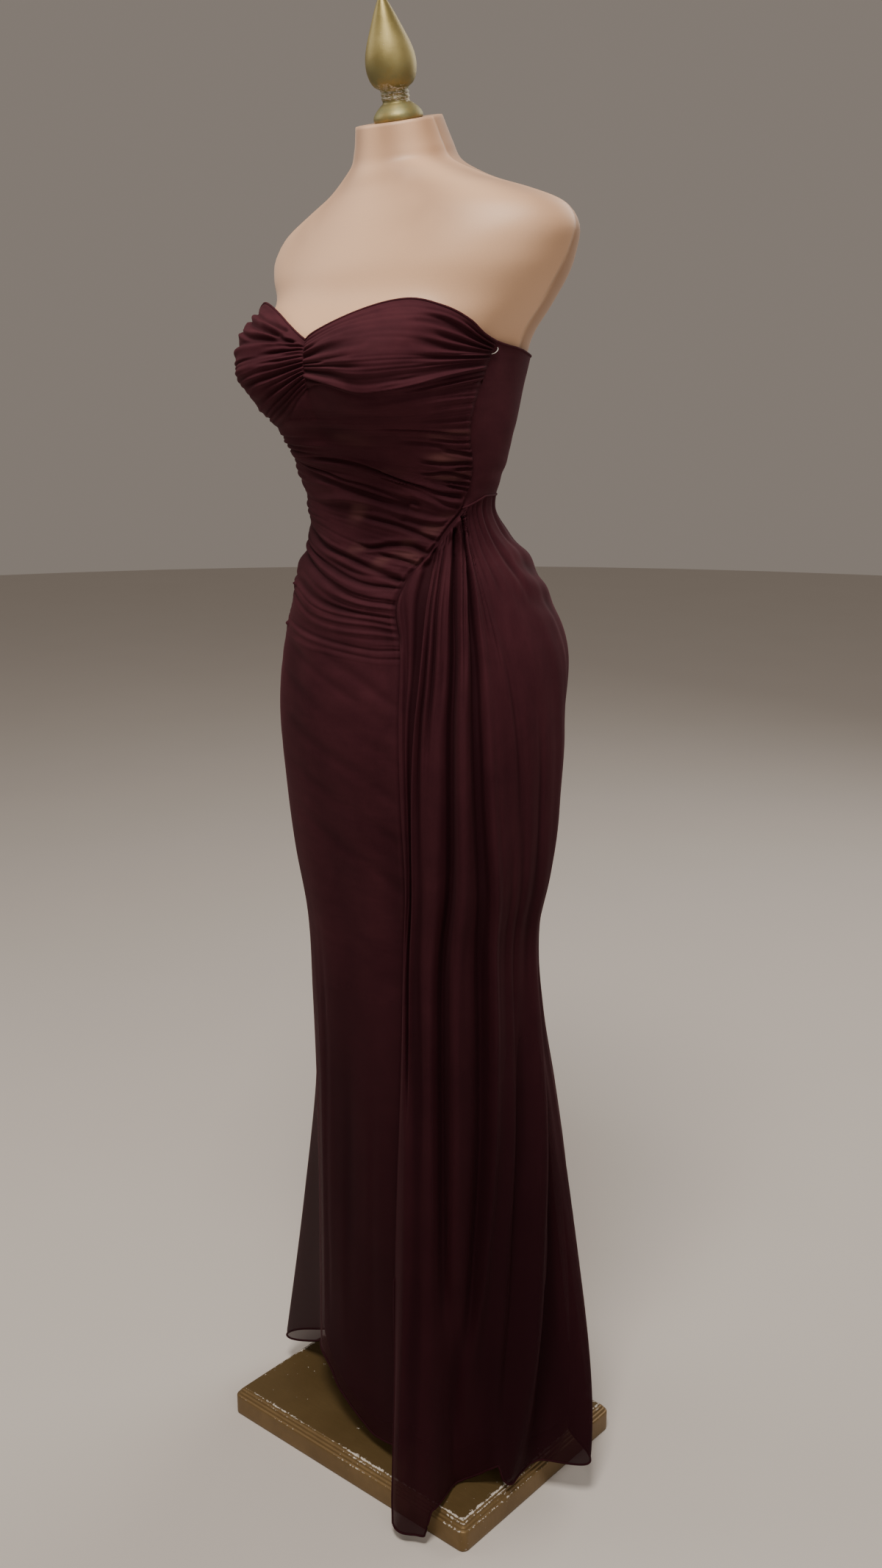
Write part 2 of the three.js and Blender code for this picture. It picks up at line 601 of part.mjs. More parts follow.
function zipPull() {
  // a drop-shaped tab, 1 mm thick, that hangs from the bar at its top, around which it swings
  const bar = 1;
  const ring = { half: 1.9, height: 4.4, side: 1.3 };
  const outline = new THREE.Shape();
  outline.moveTo(-ring.half - ring.side, bar / 2);
  outline.lineTo(-ring.half - ring.side, -ring.height - 2);
  outline.absarc(0, -19, 3.6, Math.PI, 2 * Math.PI, false);
  outline.lineTo(ring.half + ring.side, -ring.height - 2);
  outline.lineTo(ring.half + ring.side, bar / 2);
  const eye = new THREE.Path();
  eye.moveTo(-ring.half, -bar / 2);
  eye.lineTo(ring.half, -bar / 2);
  eye.lineTo(ring.half, -ring.height);
  eye.lineTo(-ring.half, -ring.height);
  outline.holes.push(eye);
  const geometry = new THREE.ExtrudeGeometry(outline, { depth: bar, bevelEnabled: false, curveSegments: 6 });
  geometry.translate(0, 0, -bar / 2);
  return geometry.rotateX(Math.PI / 2);
}

// ================= the object =================
const gownOnForm = new THREE.Group();

function add(name, geometry, finish, parent = gownOnForm) {
  const mesh = new THREE.Mesh(geometry, new THREE.MeshStandardMaterial(finish));
  mesh.name = name;
  parent.add(mesh);
  return mesh;
}

add('plinth', plinth(), BRONZE_PAINT);
add('stand_pole', pole(), STEEL);
add('form_torso', torso(), JERSEY);

const neckTop = new THREE.Group();
neckTop.position.set(0, -26, NECK_TOP);
neckTop.rotation.x = radians(NECK_TILT);
gownOnForm.add(neckTop);
add('finial', finial(), GOLD_PAINT, neckTop).position.z = SEAM_GAP;

add('cup_right', cup(-1), WINE);
add('cup_left', cup(1), WINE);
add('front_panel', frontPanel(), WINE);
add('bodice_left', bodiceLeft(), WINE);
add('bodice_right', bodiceRight(), WINE);
add('skirt_left', skirtLeft(), WINE);
add('skirt_back_right', skirtBackRight(), WINE);
add('lining_front', liningHalf(-90, 90), LINING_WINE);
add('lining_back', liningHalf(90, 270), LINING_WINE);

// the slider lies against the back, and the pull hangs plumb from the slider's arch
const backPoint = gownBase(CENTRE_BACK, ZIP.z);
const backNormal = normalOf(gownBase, CENTRE_BACK, ZIP.z);
const backSlope = Math.atan2(backNormal.z, backNormal.y);
const slider = new THREE.Group();
slider.position.copy(backPoint).addScaledVector(backNormal, SEAM_GAP);
slider.rotation.x = backSlope;
gownOnForm.add(slider);
add('zip_slider', zipSlider(), STEEL, slider);
const pull = add('zip_pull', zipPull(), STEEL);
pull.position.copy(backPoint).addScaledVector(backNormal, SEAM_GAP + ZIP.plate + ZIP.hole / 2);

export default gownOnForm;
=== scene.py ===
"""Looks for the strapless chiffon gown on its dress form.

The gown and the form are built again here at a fine pitch, in millimetres, from the sizes of the
CAD solids. The cloth's own are the steps and the sweep of the hems, the underskirt's opening and the
filled neck. Each cloth piece then gets its gathers, creases, seams and rolled edges. An angle runs
round the figure: 0 at centre front (-Y), 90 at the wearer's left (+X), 180 at centre back.
"""

import math

import bpy
import numpy as np
from mathutils import Matrix, Vector


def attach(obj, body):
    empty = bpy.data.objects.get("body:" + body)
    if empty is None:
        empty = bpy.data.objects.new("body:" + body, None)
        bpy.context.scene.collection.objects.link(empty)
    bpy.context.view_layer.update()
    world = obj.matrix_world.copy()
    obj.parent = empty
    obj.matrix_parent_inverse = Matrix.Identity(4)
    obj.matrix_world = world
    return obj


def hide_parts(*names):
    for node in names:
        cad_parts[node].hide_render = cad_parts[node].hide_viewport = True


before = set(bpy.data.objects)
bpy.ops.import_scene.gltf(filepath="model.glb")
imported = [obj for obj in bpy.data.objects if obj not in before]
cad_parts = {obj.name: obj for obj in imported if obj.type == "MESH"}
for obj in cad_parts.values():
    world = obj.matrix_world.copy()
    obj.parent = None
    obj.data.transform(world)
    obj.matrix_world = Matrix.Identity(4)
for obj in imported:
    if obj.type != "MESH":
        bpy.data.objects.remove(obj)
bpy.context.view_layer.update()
BODY = "gown_and_form"
MM = 0.001

# ---- sizes shared with the solids
# height, half width, reach to the front, reach to the back, y of the widest line, squareness
FORM_ROWS = np.array([
    [790, 166, 112, 122, 0, 2.1],
    [880, 174, 121, 124, 0, 2.1],
    [980, 176, 126, 131, -2, 2.1],
    [1060, 160, 120, 126, -8, 2.1],
    [1120, 138, 117, 103, -17, 2],
    [1170, 117, 108, 72, -20, 2],
    [1209, 113, 112, 49, -25, 2],
    [1260, 126, 128, 61, -22, 2],
    [1310, 134, 148, 71, -17, 2.1],
    [1345, 138, 156, 80, -12, 2.1],
    [1385, 146, 155, 91, -8, 2.1],
    [1420, 168, 127, 98, -2, 2.1],
    [1455, 190, 116, 100, 2, 2.1],
    [1485, 197, 102, 94, 3, 2],
    [1506, 178, 92, 84, 2, 2],
    [1522, 142, 84, 74, 0, 2],
    [1537, 101, 77, 64, -4, 2],
    [1549, 76, 73, 55, -9, 2],
    [1560, 60, 71, 45, -14, 2],
    [1578, 52, 71, 34, -19, 2],
    [1603, 46, 71, 19, -26, 2],
])
SKIRT_ROWS = np.array([
    [45, 159, 108, 176, 32, 2.1],
    [200, 156, 107, 162, 27, 2.1],
    [360, 151, 106, 152, 18, 2.1],
    [500, 148, 106, 138, 12, 2.1],
    [600, 148, 107, 122, 5, 2.1],
    [717, 153, 110, 116, 1, 2.1],
])
CLOTH_OFFSET = 3.4
GOWN_ROWS = np.vstack([SKIRT_ROWS, FORM_ROWS + [0, CLOTH_OFFSET, CLOTH_OFFSET, CLOTH_OFFSET, 0, 0]])
BUST_X, BUST_Z, BUST_REACH, BUST_WIDTH, BUST_BELOW, BUST_SPREAD = 88, 1352, 39, 66, 53, 0.25
FORM_BUST_ABOVE, CUP_BUST_ABOVE = 50, 72
NECK_LEAN = math.radians(12.5)
FORM_FOOT, FORM_TOP, PLINTH_TOP = 790, 1603, 36
HEM, KNOT, CUP_SIDE, SEAM_TOP = 45, 1209.5, 1340, 1379
RIGHT_SIDE, CENTRE_BACK = -88, 180
WAIST_SIDE, WAIST_BACK = 1221, 1219
FLARE_TOP, HEM_TOP = 740, 285
# millimetres of cloth to a degree round the hips
DEGREE = 2.3
# height, angle
LONG_SEAM = [
    (45, 22), (325, 22), (690, 25.5), (1050, 26.5), (1120, 29), (1140, 35), (1165, 48), (1190, 61),
    (KNOT, 72), (1225, 75), (1285, 73.5), (CUP_SIDE, 79), (SEAM_TOP, 81.5),
]
# angle, height
NECKLINE = [
    (0, 1381), (8, 1394), (18, 1408), (34, 1419), (48, 1413), (65, 1399), (81.5, SEAM_TOP),
    (100, 1370), (140, 1363), (180, 1361),
]
CUP_EDGE = [
    (-88, 1300), (-60, 1290), (-36, 1291), (-12, 1309), (0, 1331), (33, 1325), (60, 1330),
    (79, CUP_SIDE),
]
LEFT_HEM = [
    (27, 14), (33, 12), (36.8, 13), (37.7, 30), (38.6, 45), (42, 44), (45, 39), (48, 40), (51, 45),
    (55, 53), (57, 60), (59, 66), (60.4, 69), (61.4, 50), (63, 44), (65, 40), (72, 40), (75, 44),
    (79, 46), (180, 46),
]
HEM_LIFT = [
    (-110, 0), (-88, 0), (-80, -3), (-76, -5), (-72, 0), (-68, 13), (-64, 25), (-60, 35), (-50, 50),
    (-40, 57), (-30, 55), (-24, 48), (-20, 39), (-12, 30), (0, 16), (6, 9), (12, 11), (22, 20),
]
FRONT_FLARE = [
    (-180, 24), (-120, 22), (-95, 14), (-75, 8), (-58, 0), (-5, 0), (8, 6), (24, 28),
]
LEFT_FLARE = [(20, 38), (70, 38), (110, 30), (180, 24)]
# large folds: the skirts they are on, then the angle and the reach at each of these heights, the
# half widths in degrees at the hem and the hip, and how square the crest is
FOLD_HEIGHTS = [45, 275, 520, 845, 1050, 1180]
FOLDS = [
    ("L", [33.5, 33, 33, 34, 39, 60], [66, 26, 13, 9, 7, 3], [9.5, 6], 4),
    ("L", [52, 47, 49, 50.5, 53, 66], [2, 6, 10, 9, 7, 3], [6, 4], 2),
    ("L", [58, 64, 72, 67, 67, 74], [2, 6, 8, 5, 4, 2], [8, 7], 2),
    ("L", [62.5, 81, 98, 104, 104, 104], [28, 20, 12, 4, 2, 0], [6, 9], 2),
    ("L", [88, 108, 124, 126, 126, 126], [60, 26, 8, 0, 0, 0], [7.5, 15], 2),
    ("LR", [125, 135, 142, 144, 144, 144], [15, 9, 3, 0, 0, 0], [10, 12], 2),
    ("LR", [153, 155, 157, 157, 157, 157], [20, 12, 4, 0, 0, 0], [9, 12], 2),
    ("LR", [182, 182, 182, 182, 182, 182], [14, 8, 2, 0, 0, 0], [9, 12], 2),
    ("LR", [212, 210, 208, 208, 208, 208], [22, 13, 4, 0, 0, 0], [10, 12], 2),
    ("R", [245, 243, 241, 240, 240, 240], [18, 10, 3, 0, 0, 0], [9, 12], 2),
    ("R", [284, 284, 285, 290, 290, 290], [68, 34, 5, 0, 0, 0], [8, 9], 2),
]

# ---- flow of the gathers
# Each row is a line that the creases follow. Its first number is the line's own coordinate, and the
# rest are where it lies at each of the columns named above the table.
# front panel: height at these shares of the way from the right side to the long seam, where the
# height is the line's own coordinate too
FRONT_FLOW_AT = [0, 0.2, 0.4, 0.6, 0.8, 1]
FRONT_FLOW = [[row[-1], *row] for row in (
    (1045, 1044, 1041, 1036, 1035, 1035),
    (1068, 1066, 1060, 1052, 1050, 1050),
    (1088, 1086, 1080, 1070, 1066, 1065),
    (1112, 1110, 1102, 1089, 1083, 1080),
    (1130, 1128, 1120, 1107, 1099, 1095),
    (1160, 1156, 1146, 1130, 1117, 1109),
    (1184, 1177, 1163, 1150, 1140, 1135),
    (1200, 1197, 1186, 1176, 1166, 1160),
    (1215, 1213, 1203, 1194, 1183, 1175),
    (1226, 1224, 1216, 1208, 1198, 1190),
    (1240, 1240, 1234, 1225, 1212, 1200),
    (1256, 1256, 1247, 1243, 1233, 1214),
    (1262, 1264, 1262, 1254, 1244, 1240),
    (1266, 1272, 1270, 1266, 1261, 1259),
    (1278, 1285, 1290, 1290, 1288, 1286),
    (1290, 1294, 1308, 1314, 1320, 1328),
    (1300, 1300, 1322, 1324, 1328, 1340),
)]
# left cup: height at these shares of the way from centre front to the side-front seam
LEFT_CUP_FLOW_AT = [0, 0.2, 0.4, 0.6, 0.8, 1]
LEFT_CUP_FLOW = [
    [0, 1331, 1327, 1325, 1326, 1332, 1340],
    [15, 1346, 1339, 1331, 1336, 1346, 1355],
    [22, 1354, 1354, 1353, 1356, 1359, 1362],
    [27, 1359, 1363, 1368, 1370, 1367, 1367],
    [30, 1366, 1377, 1384, 1384, 1376, 1369],
    [34, 1374, 1392, 1402, 1402, 1391, 1373],
    [40, 1381, 1405, 1418, 1413, 1400, 1379],
]
# right cup: height at these angles
RIGHT_CUP_FLOW_AT = [-88, -60, -40, -25, -12, 0]
RIGHT_CUP_FLOW = [
    [0, 1300, 1290, 1291, 1298, 1310, 1331],
    [12, 1312, 1302, 1304, 1311, 1325, 1344],
    [20, 1322, 1316, 1320, 1328, 1338, 1351],
    [30, 1332, 1334, 1340, 1347, 1354, 1361],
    [42, 1343, 1352, 1358, 1366, 1370, 1373],
    [46, 1352, 1370, 1376, 1381, 1382, 1377],
    [48, 1368, 1394, 1404, 1397, 1388, 1379],
    [50, 1376, 1404, 1418, 1414, 1400, 1381],
]
# left skirt: angle at these heights; a line's coordinate is its angle at the thigh
SKIRT_FLOW_AT = [45, 150, 300, 520, 700, 850, 1010, 1080, 1125, 1160, 1205]
SKIRT_FLOW = [
    [26.5, 27, 25, 22, 24, 25.6, 26.1, 26.4, 27.4, 29.4, 33, 40],
    [27, 28, 26, 23.5, 25, 26.4, 26.8, 27.4, 29.3, 31.8, 40, 55],
    [27.6, 29, 27, 25, 26.2, 27.3, 27.5, 29, 32.6, 37.5, 45, 57],
    [28.7, 30.5, 28.5, 28, 28.3, 28.5, 28.5, 32.5, 37.4, 43.7, 50, 60],
    [44, 39.5, 40.5, 42, 43.5, 44.3, 45.3, 47, 51.6, 56.5, 61, 66.5],
    [57.5, 45, 48, 55.5, 63.5, 64.5, 57.5, 56, 60, 65, 68, 70.5],
    [86, 63, 66.5, 74, 85, 90, 86, 80, 78, 77, 76, 76],
    [99, 85, 88, 94.5, 104.5, 102, 99, 97, 95, 92, 88, 84],
    [115, 98, 103, 112, 118, 118, 115, 112, 110, 108, 105, 100],
    [130, 125, 128] + [130] * 9,
    [180] * 12,
]

# ---- creases that show plainly
# line, half width across the flow, depth (a ridge where it is negative), from, to, and how far it
# takes to fade in and to fade out
FRONT_CREASES = [
    (1333, 3, 2.2, 0.62, 1, 0.2, 0.01), (1327, 2.6, 1.8, 0.75, 1, 0.15, 0.01),
    (1320, 3, 1.2, 0.8, 1, 0.12, 0.01), (1303, 2.4, 1.6, 0.78, 1, 0.14, 0.01),
    (1296, 2.2, 1.4, 0.84, 1, 0.12, 0.01), (1274, 2.6, 1.4, 0.05, 0.6, 0.1, 0.2),
    (1262, 3.2, 1.8, 0.15, 0.62, 0.2, 0.2), (1249, 3, 1.7, 0, 0.55, 0.05, 0.2),
    (1133, 2.6, 1.8, 0.5, 1, 0.25, 0.01), (1126, 2.6, 1.8, 0.1, 1, 0.15, 0.02),
    (1119, 3, -1.8, 0.15, 0.95, 0.15, 0.1), (1109, 3.2, 3, 0.1, 1, 0.15, 0.01),
    (1100, 2.2, 1.4, 0.55, 1, 0.2, 0.01), (1094, 2.8, 2.2, 0.15, 1, 0.15, 0.01),
    (1086, 2.2, 1.4, 0.55, 1, 0.25, 0.01), (1079, 2.6, 1.9, 0.2, 1, 0.25, 0.01),
    (1071, 2, 1.2, 0.65, 1, 0.2, 0.01), (1060, 2.4, 1.4, 0.35, 1, 0.2, 0.01),
    (1051, 2.6, 1.8, 0.3, 1, 0.25, 0.01),
]
# creases that cross the flow: half width, depth, then (share, line) points along each
FRONT_STROKES = [
    (3.6, 4, [(0.36, 1239), (0.63, 1241), (0.7, 1235), (0.77, 1222), (0.84, 1216), (0.99, 1221)]),
    (2.6, 3, [(0.25, 1222), (0.47, 1214), (0.54, 1209), (0.63, 1207), (0.73, 1204), (0.84, 1204)]),
    (2.2, 2.6, [(0.66, 1230), (0.77, 1215), (0.88, 1210), (0.99, 1210)]),
    (4.4, 3.8, [(0.34, 1210), (0.46, 1205), (0.58, 1200), (0.71, 1197), (0.8, 1199)]),
    (2.8, -2.6, [(0.34, 1190), (0.43, 1191), (0.63, 1193), (0.76, 1193), (0.98, 1195)]),
    (2.6, 2.8, [(0.55, 1180), (0.65, 1181), (0.8, 1182), (1, 1175)]),
    (3, 3.6, [(0.66, 1157), (0.74, 1159), (0.82, 1165), (0.88, 1167), (1, 1162)]),
    (2.4, 2.8, [(0.78, 1155), (0.85, 1154), (0.94, 1152), (1, 1150)]),
    (3.4, 3.2, [(0.25, 1150), (0.49, 1143), (0.71, 1143), (0.88, 1138), (1, 1133)]),
    (2.4, 3.6, [(0.89, 1271), (0.93, 1269), (1, 1266)]),
    (1.8, 2.2, [(0.76, 1275), (0.84, 1274), (1, 1272)]),
    (2.2, 3.4, [(0.8, 1261), (0.87, 1259), (1, 1257)]),
    (2.2, 3.2, [(0.8, 1243), (0.85, 1245), (0.89, 1248), (0.96, 1244), (1, 1240)]),
    (1.8, 2, [(0.7, 1290), (0.82, 1288), (1, 1287)]),
    (1.5, 2, [(0.85, 1278), (0.9, 1278), (1, 1280)]),
    (1.8, 2.8, [(0.92, 1252), (0.95, 1252), (1, 1252)]),
    (1.9, 2.6, [(0.88, 1235), (0.94, 1235), (1, 1235)]),
    (1.8, 2.2, [(0.9, 1229), (0.95, 1229), (1, 1229)]),
]
LEFT_CUP_CREASES = [
    (15, 1.58, -2.2, 0, 1, 0.02, 0.04), (19, 1.45, 1.8, 0, 0.34, 0.01, 0.14),
    (11, 1.72, 1.6, 0, 0.5, 0.02, 0.2), (10, 1.45, 1.6, 0.66, 1, 0.2, 0.01),
    (6, 1.45, 1.4, 0.55, 1, 0.2, 0.01), (22.5, 1.06, 1.8, 0, 0.48, 0.01, 0.18),
    (25, 0.79, 1.8, 0, 0.2, 0.01, 0.1), (29, 0.92, 2, 0, 0.36, 0.01, 0.16),
    (31.5, 0.66, 1.4, 0, 0.12, 0.01, 0.06), (24.5, 1.19, 2.2, 0.6, 1, 0.18, 0.01),
    (27.3, 0.73, 1.6, 0.82, 1, 0.08, 0.01), (29, 0.86, 2.4, 0.56, 1, 0.2, 0.01),
    (31.4, 0.79, 3, 0.62, 1, 0.2, 0.01), (34, 0.99, 3.4, 0.5, 1, 0.22, 0.01),
    (37, 0.86, 1.4, 0.72, 1, 0.16, 0.01),
]
RIGHT_CUP_CREASES = [
    (4, 1.7, 2.2, -45, 0, 12, 0.5), (8, 1.7, 3, -48, 0, 12, 0.5), (12, 1.53, 3.2, -46, 0, 12, 0.5),
    (16.5, 1.7, 3.2, -42, 0, 12, 0.5), (20.5, 1.44, 2.2, -30, 0, 10, 0.5),
    (25, 1.7, 3, -36, 0, 12, 0.5), (29, 1.53, 2.2, -44, 0, 18, 0.5), (33, 1.27, 1.6, -14, 0, 6, 0.5),
    (36.5, 1.27, 1.8, -10, 0, 5, 0.5), (40, 1.27, 2.2, -20, 0, 9, 0.5), (43, 1.02, 1.6, -8, 0, 4, 0.5),
    (45.6, 0.85, 3, -66, -2, 10, 3), (47.4, 0.42, 3.2, -44, -9, 10, 4), (48.2, 0.34, 1.8, -46, -18, 10, 5),
    (48.9, 0.34, 1.8, -52, -10, 12, 5), (49.5, 0.26, 1, -40, -16, 8, 5),
]
# right cup: half width, depth, then (angle, height) points along each
RIGHT_CUP_STROKES = [
    (2.4, 3.6, [(-60, 1404), (-38, 1400), (-18, 1390), (-7, 1381)]),
    (1.8, 2.8, [(-50, 1411), (-32, 1406), (-14, 1394), (-7, 1388)]),
    (2.2, 3, [(-66, 1392), (-44, 1391), (-26, 1384), (-10, 1379)]),
]
# left skirt, where "from" and "to" are heights
SKIRT_CREASES = [
    (27.1, 0.3, 5.5, 640, 1148, 140, 6), (27.9, 0.55, 7.5, 560, 1158, 180, 8),
    (28.8, 0.62, 9.5, 470, 1172, 200, 8),
    (30.2, 0.6, 3, 1040, 1165, 60, 8), (31.8, 0.8, 4.5, 760, 1168, 260, 8),
    (35, 0.9, 5, 880, 1174, 200, 8), (37.2, 0.7, 2.6, 1100, 1178, 50, 8),
    (39.4, 0.9, 4, 960, 1182, 160, 8), (44, 2.3, 12, 200, 1192, 240, 8),
    (47.5, 0.8, 2.6, 1110, 1194, 50, 8), (50.5, 1.1, 4.5, 980, 1196, 140, 8),
    (54, 0.8, 2.6, 1120, 1199, 40, 8), (57.5, 3, 14, 180, 1204, 160, 8),
    (63, 1.2, 3.6, 1130, 1206, 40, 4), (68, 1.3, 3.2, 1150, 1208, 34, 4),
    (72, 1.2, 2.2, 1170, 1208, 24, 4), (86, 4.2, 7, 0, 700, 60, 260),
    (99, 4.2, 9, 0, 600, 60, 220), (34, 3.2, 2.4, 60, 800, 200, 300),
    (50.5, 3.6, 2.4, 60, 760, 200, 300), (69, 4, 3, 40, 680, 160, 260),
    (79, 1.1, 1, 840, 1080, 100, 80), (92, 1.2, 1, 760, 1010, 100, 90),
]
# front panel, thin single-layer places that show paler: share, line, half sizes of both, strength
THIN_PLACES = [
    (0.955, 1289, 0.045, 3.2, 0.75), (0.9, 1282, 0.045, 2.8, 0.4), (0.915, 1263, 0.06, 4.2, 0.85),
    (0.9, 1241, 0.05, 4, 0.65), (0.958, 1247, 0.03, 2.6, 0.55), (0.935, 1185, 0.04, 5, 0.75),
    (0.61, 1183, 0.035, 9, 0.6), (0.69, 1154, 0.035, 7, 0.45), (0.84, 1148, 0.035, 7, 0.4),
    (0.91, 1158, 0.06, 4, 0.6), (0.885, 1170, 0.03, 4, 0.45), (0.975, 1154, 0.03, 3, 0.5),
    (0.63, 1276, 0.06, 7, 0.3), (0.7, 1240, 0.08, 5, 0.2), (0.95, 1201, 0.03, 3, 0.35),
]


# ---- curves and surfaces
def curve_at(places, values, x):
    """The value at x on a smooth curve through the places, as the solids have it."""
    places, values = np.asarray(places, float), np.asarray(values, float)
    x = np.clip(x, places[0], places[-1])
    i = np.clip(np.searchsorted(places, x, side="right") - 1, 0, len(places) - 2)
    gap = np.diff(places)
    slope = np.diff(values) / gap
    tangent = np.empty_like(values)
    tangent[0], tangent[-1] = slope[0], slope[-1]
    tangent[1:-1] = (slope[1:] * gap[:-1] + slope[:-1] * gap[1:]) / (gap[:-1] + gap[1:])
    s = (x - places[i]) / gap[i]
    return (
        (2 * s**3 - 3 * s**2 + 1) * values[i]
        + (s**3 - 2 * s**2 + s) * gap[i] * tangent[i]
        + (3 * s**2 - 2 * s**3) * values[i + 1]
        + (s**3 - s**2) * gap[i] * tangent[i + 1]
    )


def along(table, x):
    return curve_at([r[0] for r in table], [r[1] for r in table], x)


def ease(x, a, b):
    """0 at a and 1 at b, softly; it falls where b is the lower one."""
    s = np.clip((np.asarray(x, float) - a) / (b - a), 0, 1)
    return s * s * (3 - 2 * s)


def bell(x, middle=0, width=1, power=2):
    return np.exp(-np.abs((x - middle) / width) ** power)


def circle(count):
    return np.linspace(0, 2 * np.pi, count, endpoint=False)


def spread(a, b, share):
    return a + (b - a) * share


def seam_angle(z):
    return along(LONG_SEAM, z)


def neckline(angle):
    return along(NECKLINE, np.abs(angle))


def cup_edge(angle):
    return along(CUP_EDGE, angle)


def section(rows, bust_above, angle, z):
    side, front, back, middle, square = (curve_at(rows[:, 0], rows[:, c], z) for c in range(1, 6))
    sin, cos = np.sin(np.radians(angle)), np.cos(np.radians(angle))
    x = side * np.sign(sin) * np.abs(sin) ** (2 / square)
    y = middle + np.where(cos > 0, -(front + middle), back - middle) * np.abs(cos) ** (2 / square)
    height = (z - BUST_Z) / np.where(z > BUST_Z, bust_above, BUST_BELOW)
    bust = BUST_REACH * bell(np.abs(x), BUST_X, BUST_WIDTH) * bell(height) * ease(cos, 0, 0.35)
    return x + np.tanh(x / 25) * BUST_SPREAD * bust, y - bust, middle, cos


def form_point(angle, z):
    x, y, middle, _ = section(FORM_ROWS, FORM_BUST_ABOVE, angle, z)
    drop = 13 / 190 * ease(z, 1400, 1490) * ease(z, 1575, 1545)
    up = z + (y - middle) * math.tan(NECK_LEAN) * ease(z, 1520, FORM_TOP) + x * drop
    return np.stack([x + 6 * ease(z, 1385, 1450) * ease(z, 1560, 1500), y, up], -1)


def gown_base(angle, z):
    x, y, _, cos = section(GOWN_ROWS, CUP_BUST_ABOVE, angle, z)
    y = y - 8 * bell(z, 1350, 55) * ease(cos, -0.2, 0.9)
    return np.stack([x, y, z * np.ones_like(x)], -1)


def raised(surface, angle, z, by):
    """Points of a surface, moved out along its normals."""
    across = surface(angle + 0.2, z) - surface(angle - 0.2, z)
    up = surface(angle, z + 0.5) - surface(angle, z - 0.5)
    out = np.cross(across, up)
    out /= np.linalg.norm(out, axis=-1, keepdims=True)
    return surface(angle, z) + out * by[..., None]


def flared(z):
    return np.clip((FLARE_TOP - z) / (FLARE_TOP - HEM), 0, 1)


def near_hem(z):
    return ease(z, HEM_TOP, HEM)


def skirt_relief(angle, z, on):
    reach = flared(z) * np.maximum(0, along(LEFT_FLARE if on == "L" else FRONT_FLARE, angle))
    if on == "L":
        reach = reach + (
            17 * bell(angle, 122, 34) * ease(z, 1208, 1130)
            * (0.15 + 0.85 * ease(z, 960, 1060)) * ease(z, 780, 860)
        )
    for where, angles, reaches, widths, flat in FOLDS:
        if on in where:
            centre = curve_at(FOLD_HEIGHTS, angles, z)
            width = np.interp(z, [HEM, 1050], widths)
            apart = np.mod(angle - centre + 180, 360) - 180
            reach = reach + np.maximum(0, curve_at(FOLD_HEIGHTS, reaches, z)) * bell(apart, 0, width, flat)
    return reach


def flow_coordinate(lines, at, place, value):
    """Which flow line runs through each point: lines give value at the places in at."""
    coordinate = np.full(np.shape(value), float(lines[0][0]))
    before = curve_at(at, lines[0][1:], place)
    for low, high in zip(lines[:-1], lines[1:]):
        after = curve_at(at, high[1:], place)
        share = (value - before) / np.maximum(after - before, 1e-3)
        inside = share > 0
        coordinate = np.where(inside, spread(low[0], high[0], np.minimum(share, 1)), coordinate)
        before = after
    return coordinate


def crease_profile(x):
    """A crease, sunk in the middle, with a soft lip on each side."""
    return -bell(x) + 0.42 * (bell(x, 1.8, 1.1) + bell(x, -1.8, 1.1))


def creases(rows, coordinate, place):
    relief = np.zeros(np.shape(coordinate))
    for line, width, depth, start, end, fade_in, fade_out in rows:
        near = np.abs(coordinate - line) < 4 * width
        run = ease(place, start, start + fade_in) * ease(place, end, end - fade_out)
        relief += np.where(near, depth * crease_profile((coordinate - line) / width) * run, 0)
    return relief


def strokes(rows, across, place):
    """Creases that run along their own curves: across is where each point is over the place."""
    relief = np.zeros(np.shape(across))
    for width, depth, points in rows:
        start, end = points[0][0], points[-1][0]
        fade = 0.3 * (end - start)
        run = ease(place, start, start + fade) * (1 - ease(place, end - 0.05 * (end - start), end))
        middle = curve_at([q[0] for q in points], [q[1] for q in points], place)
        relief += depth * crease_profile((across - middle) / (0.85 * width)) * run
    return relief


def scattered(seed, low, high, pitch, depth, starts, ends, fades, width=0.36):
    """Rows of smaller creases, one about every pitch, uneven in place, depth and length."""
    random = np.random.default_rng(seed)
    rows = []
    line = low + pitch * random.uniform(0.3, 0.9)
    while line < high:
        rows.append((
            line, pitch * width * random.uniform(0.75, 1.25), depth * random.uniform(0.35, 1.15),
            random.uniform(*starts), random.uniform(*ends), fades[0], fades[1],
        ))
        line += pitch * random.uniform(0.7, 1.45)
    return rows


def scatter(coordinate, place, *sets):
    """Sets of smaller creases, each given as scattered() takes it."""
    return sum(creases(scattered(*rows), coordinate, place) for rows in sets)


def ripples(seed, x, y, wave_x, wave_y, count=14):
    """A soft, uneven surface, as the sum of a few waves that lie at random angles; about -1 to 1."""
    random = np.random.default_rng(seed)
    total = np.zeros(np.shape(x))
    for _ in range(count):
        turn, phase = random.uniform(0, 2 * np.pi, 2)
        scale = random.uniform(0.6, 1.6)
        total += np.sin(
            2 * np.pi * scale * (x * np.cos(turn) / wave_x + y * np.sin(turn) / wave_y) + phase
        )
    return total / np.sqrt(count)


# ---- meshes
def placed(name, data):
    obj = bpy.data.objects.new(name, data)
    bpy.context.scene.collection.objects.link(obj)
    return obj


def mesh_object(name, points, faces, attributes=None):
    mesh = bpy.data.meshes.new(name)
    mesh.from_pydata((np.reshape(points, (-1, 3)) * MM).tolist(), [], faces)
    mesh.update()
    mesh.polygons.foreach_set("use_smooth", [True] * len(mesh.polygons))
    for key, values in (attributes or {}).items():
        layer = mesh.attributes.new(key, "FLOAT", "POINT")
        layer.data.foreach_set("value", np.asarray(values, np.float32).ravel())
    return placed(name, mesh)


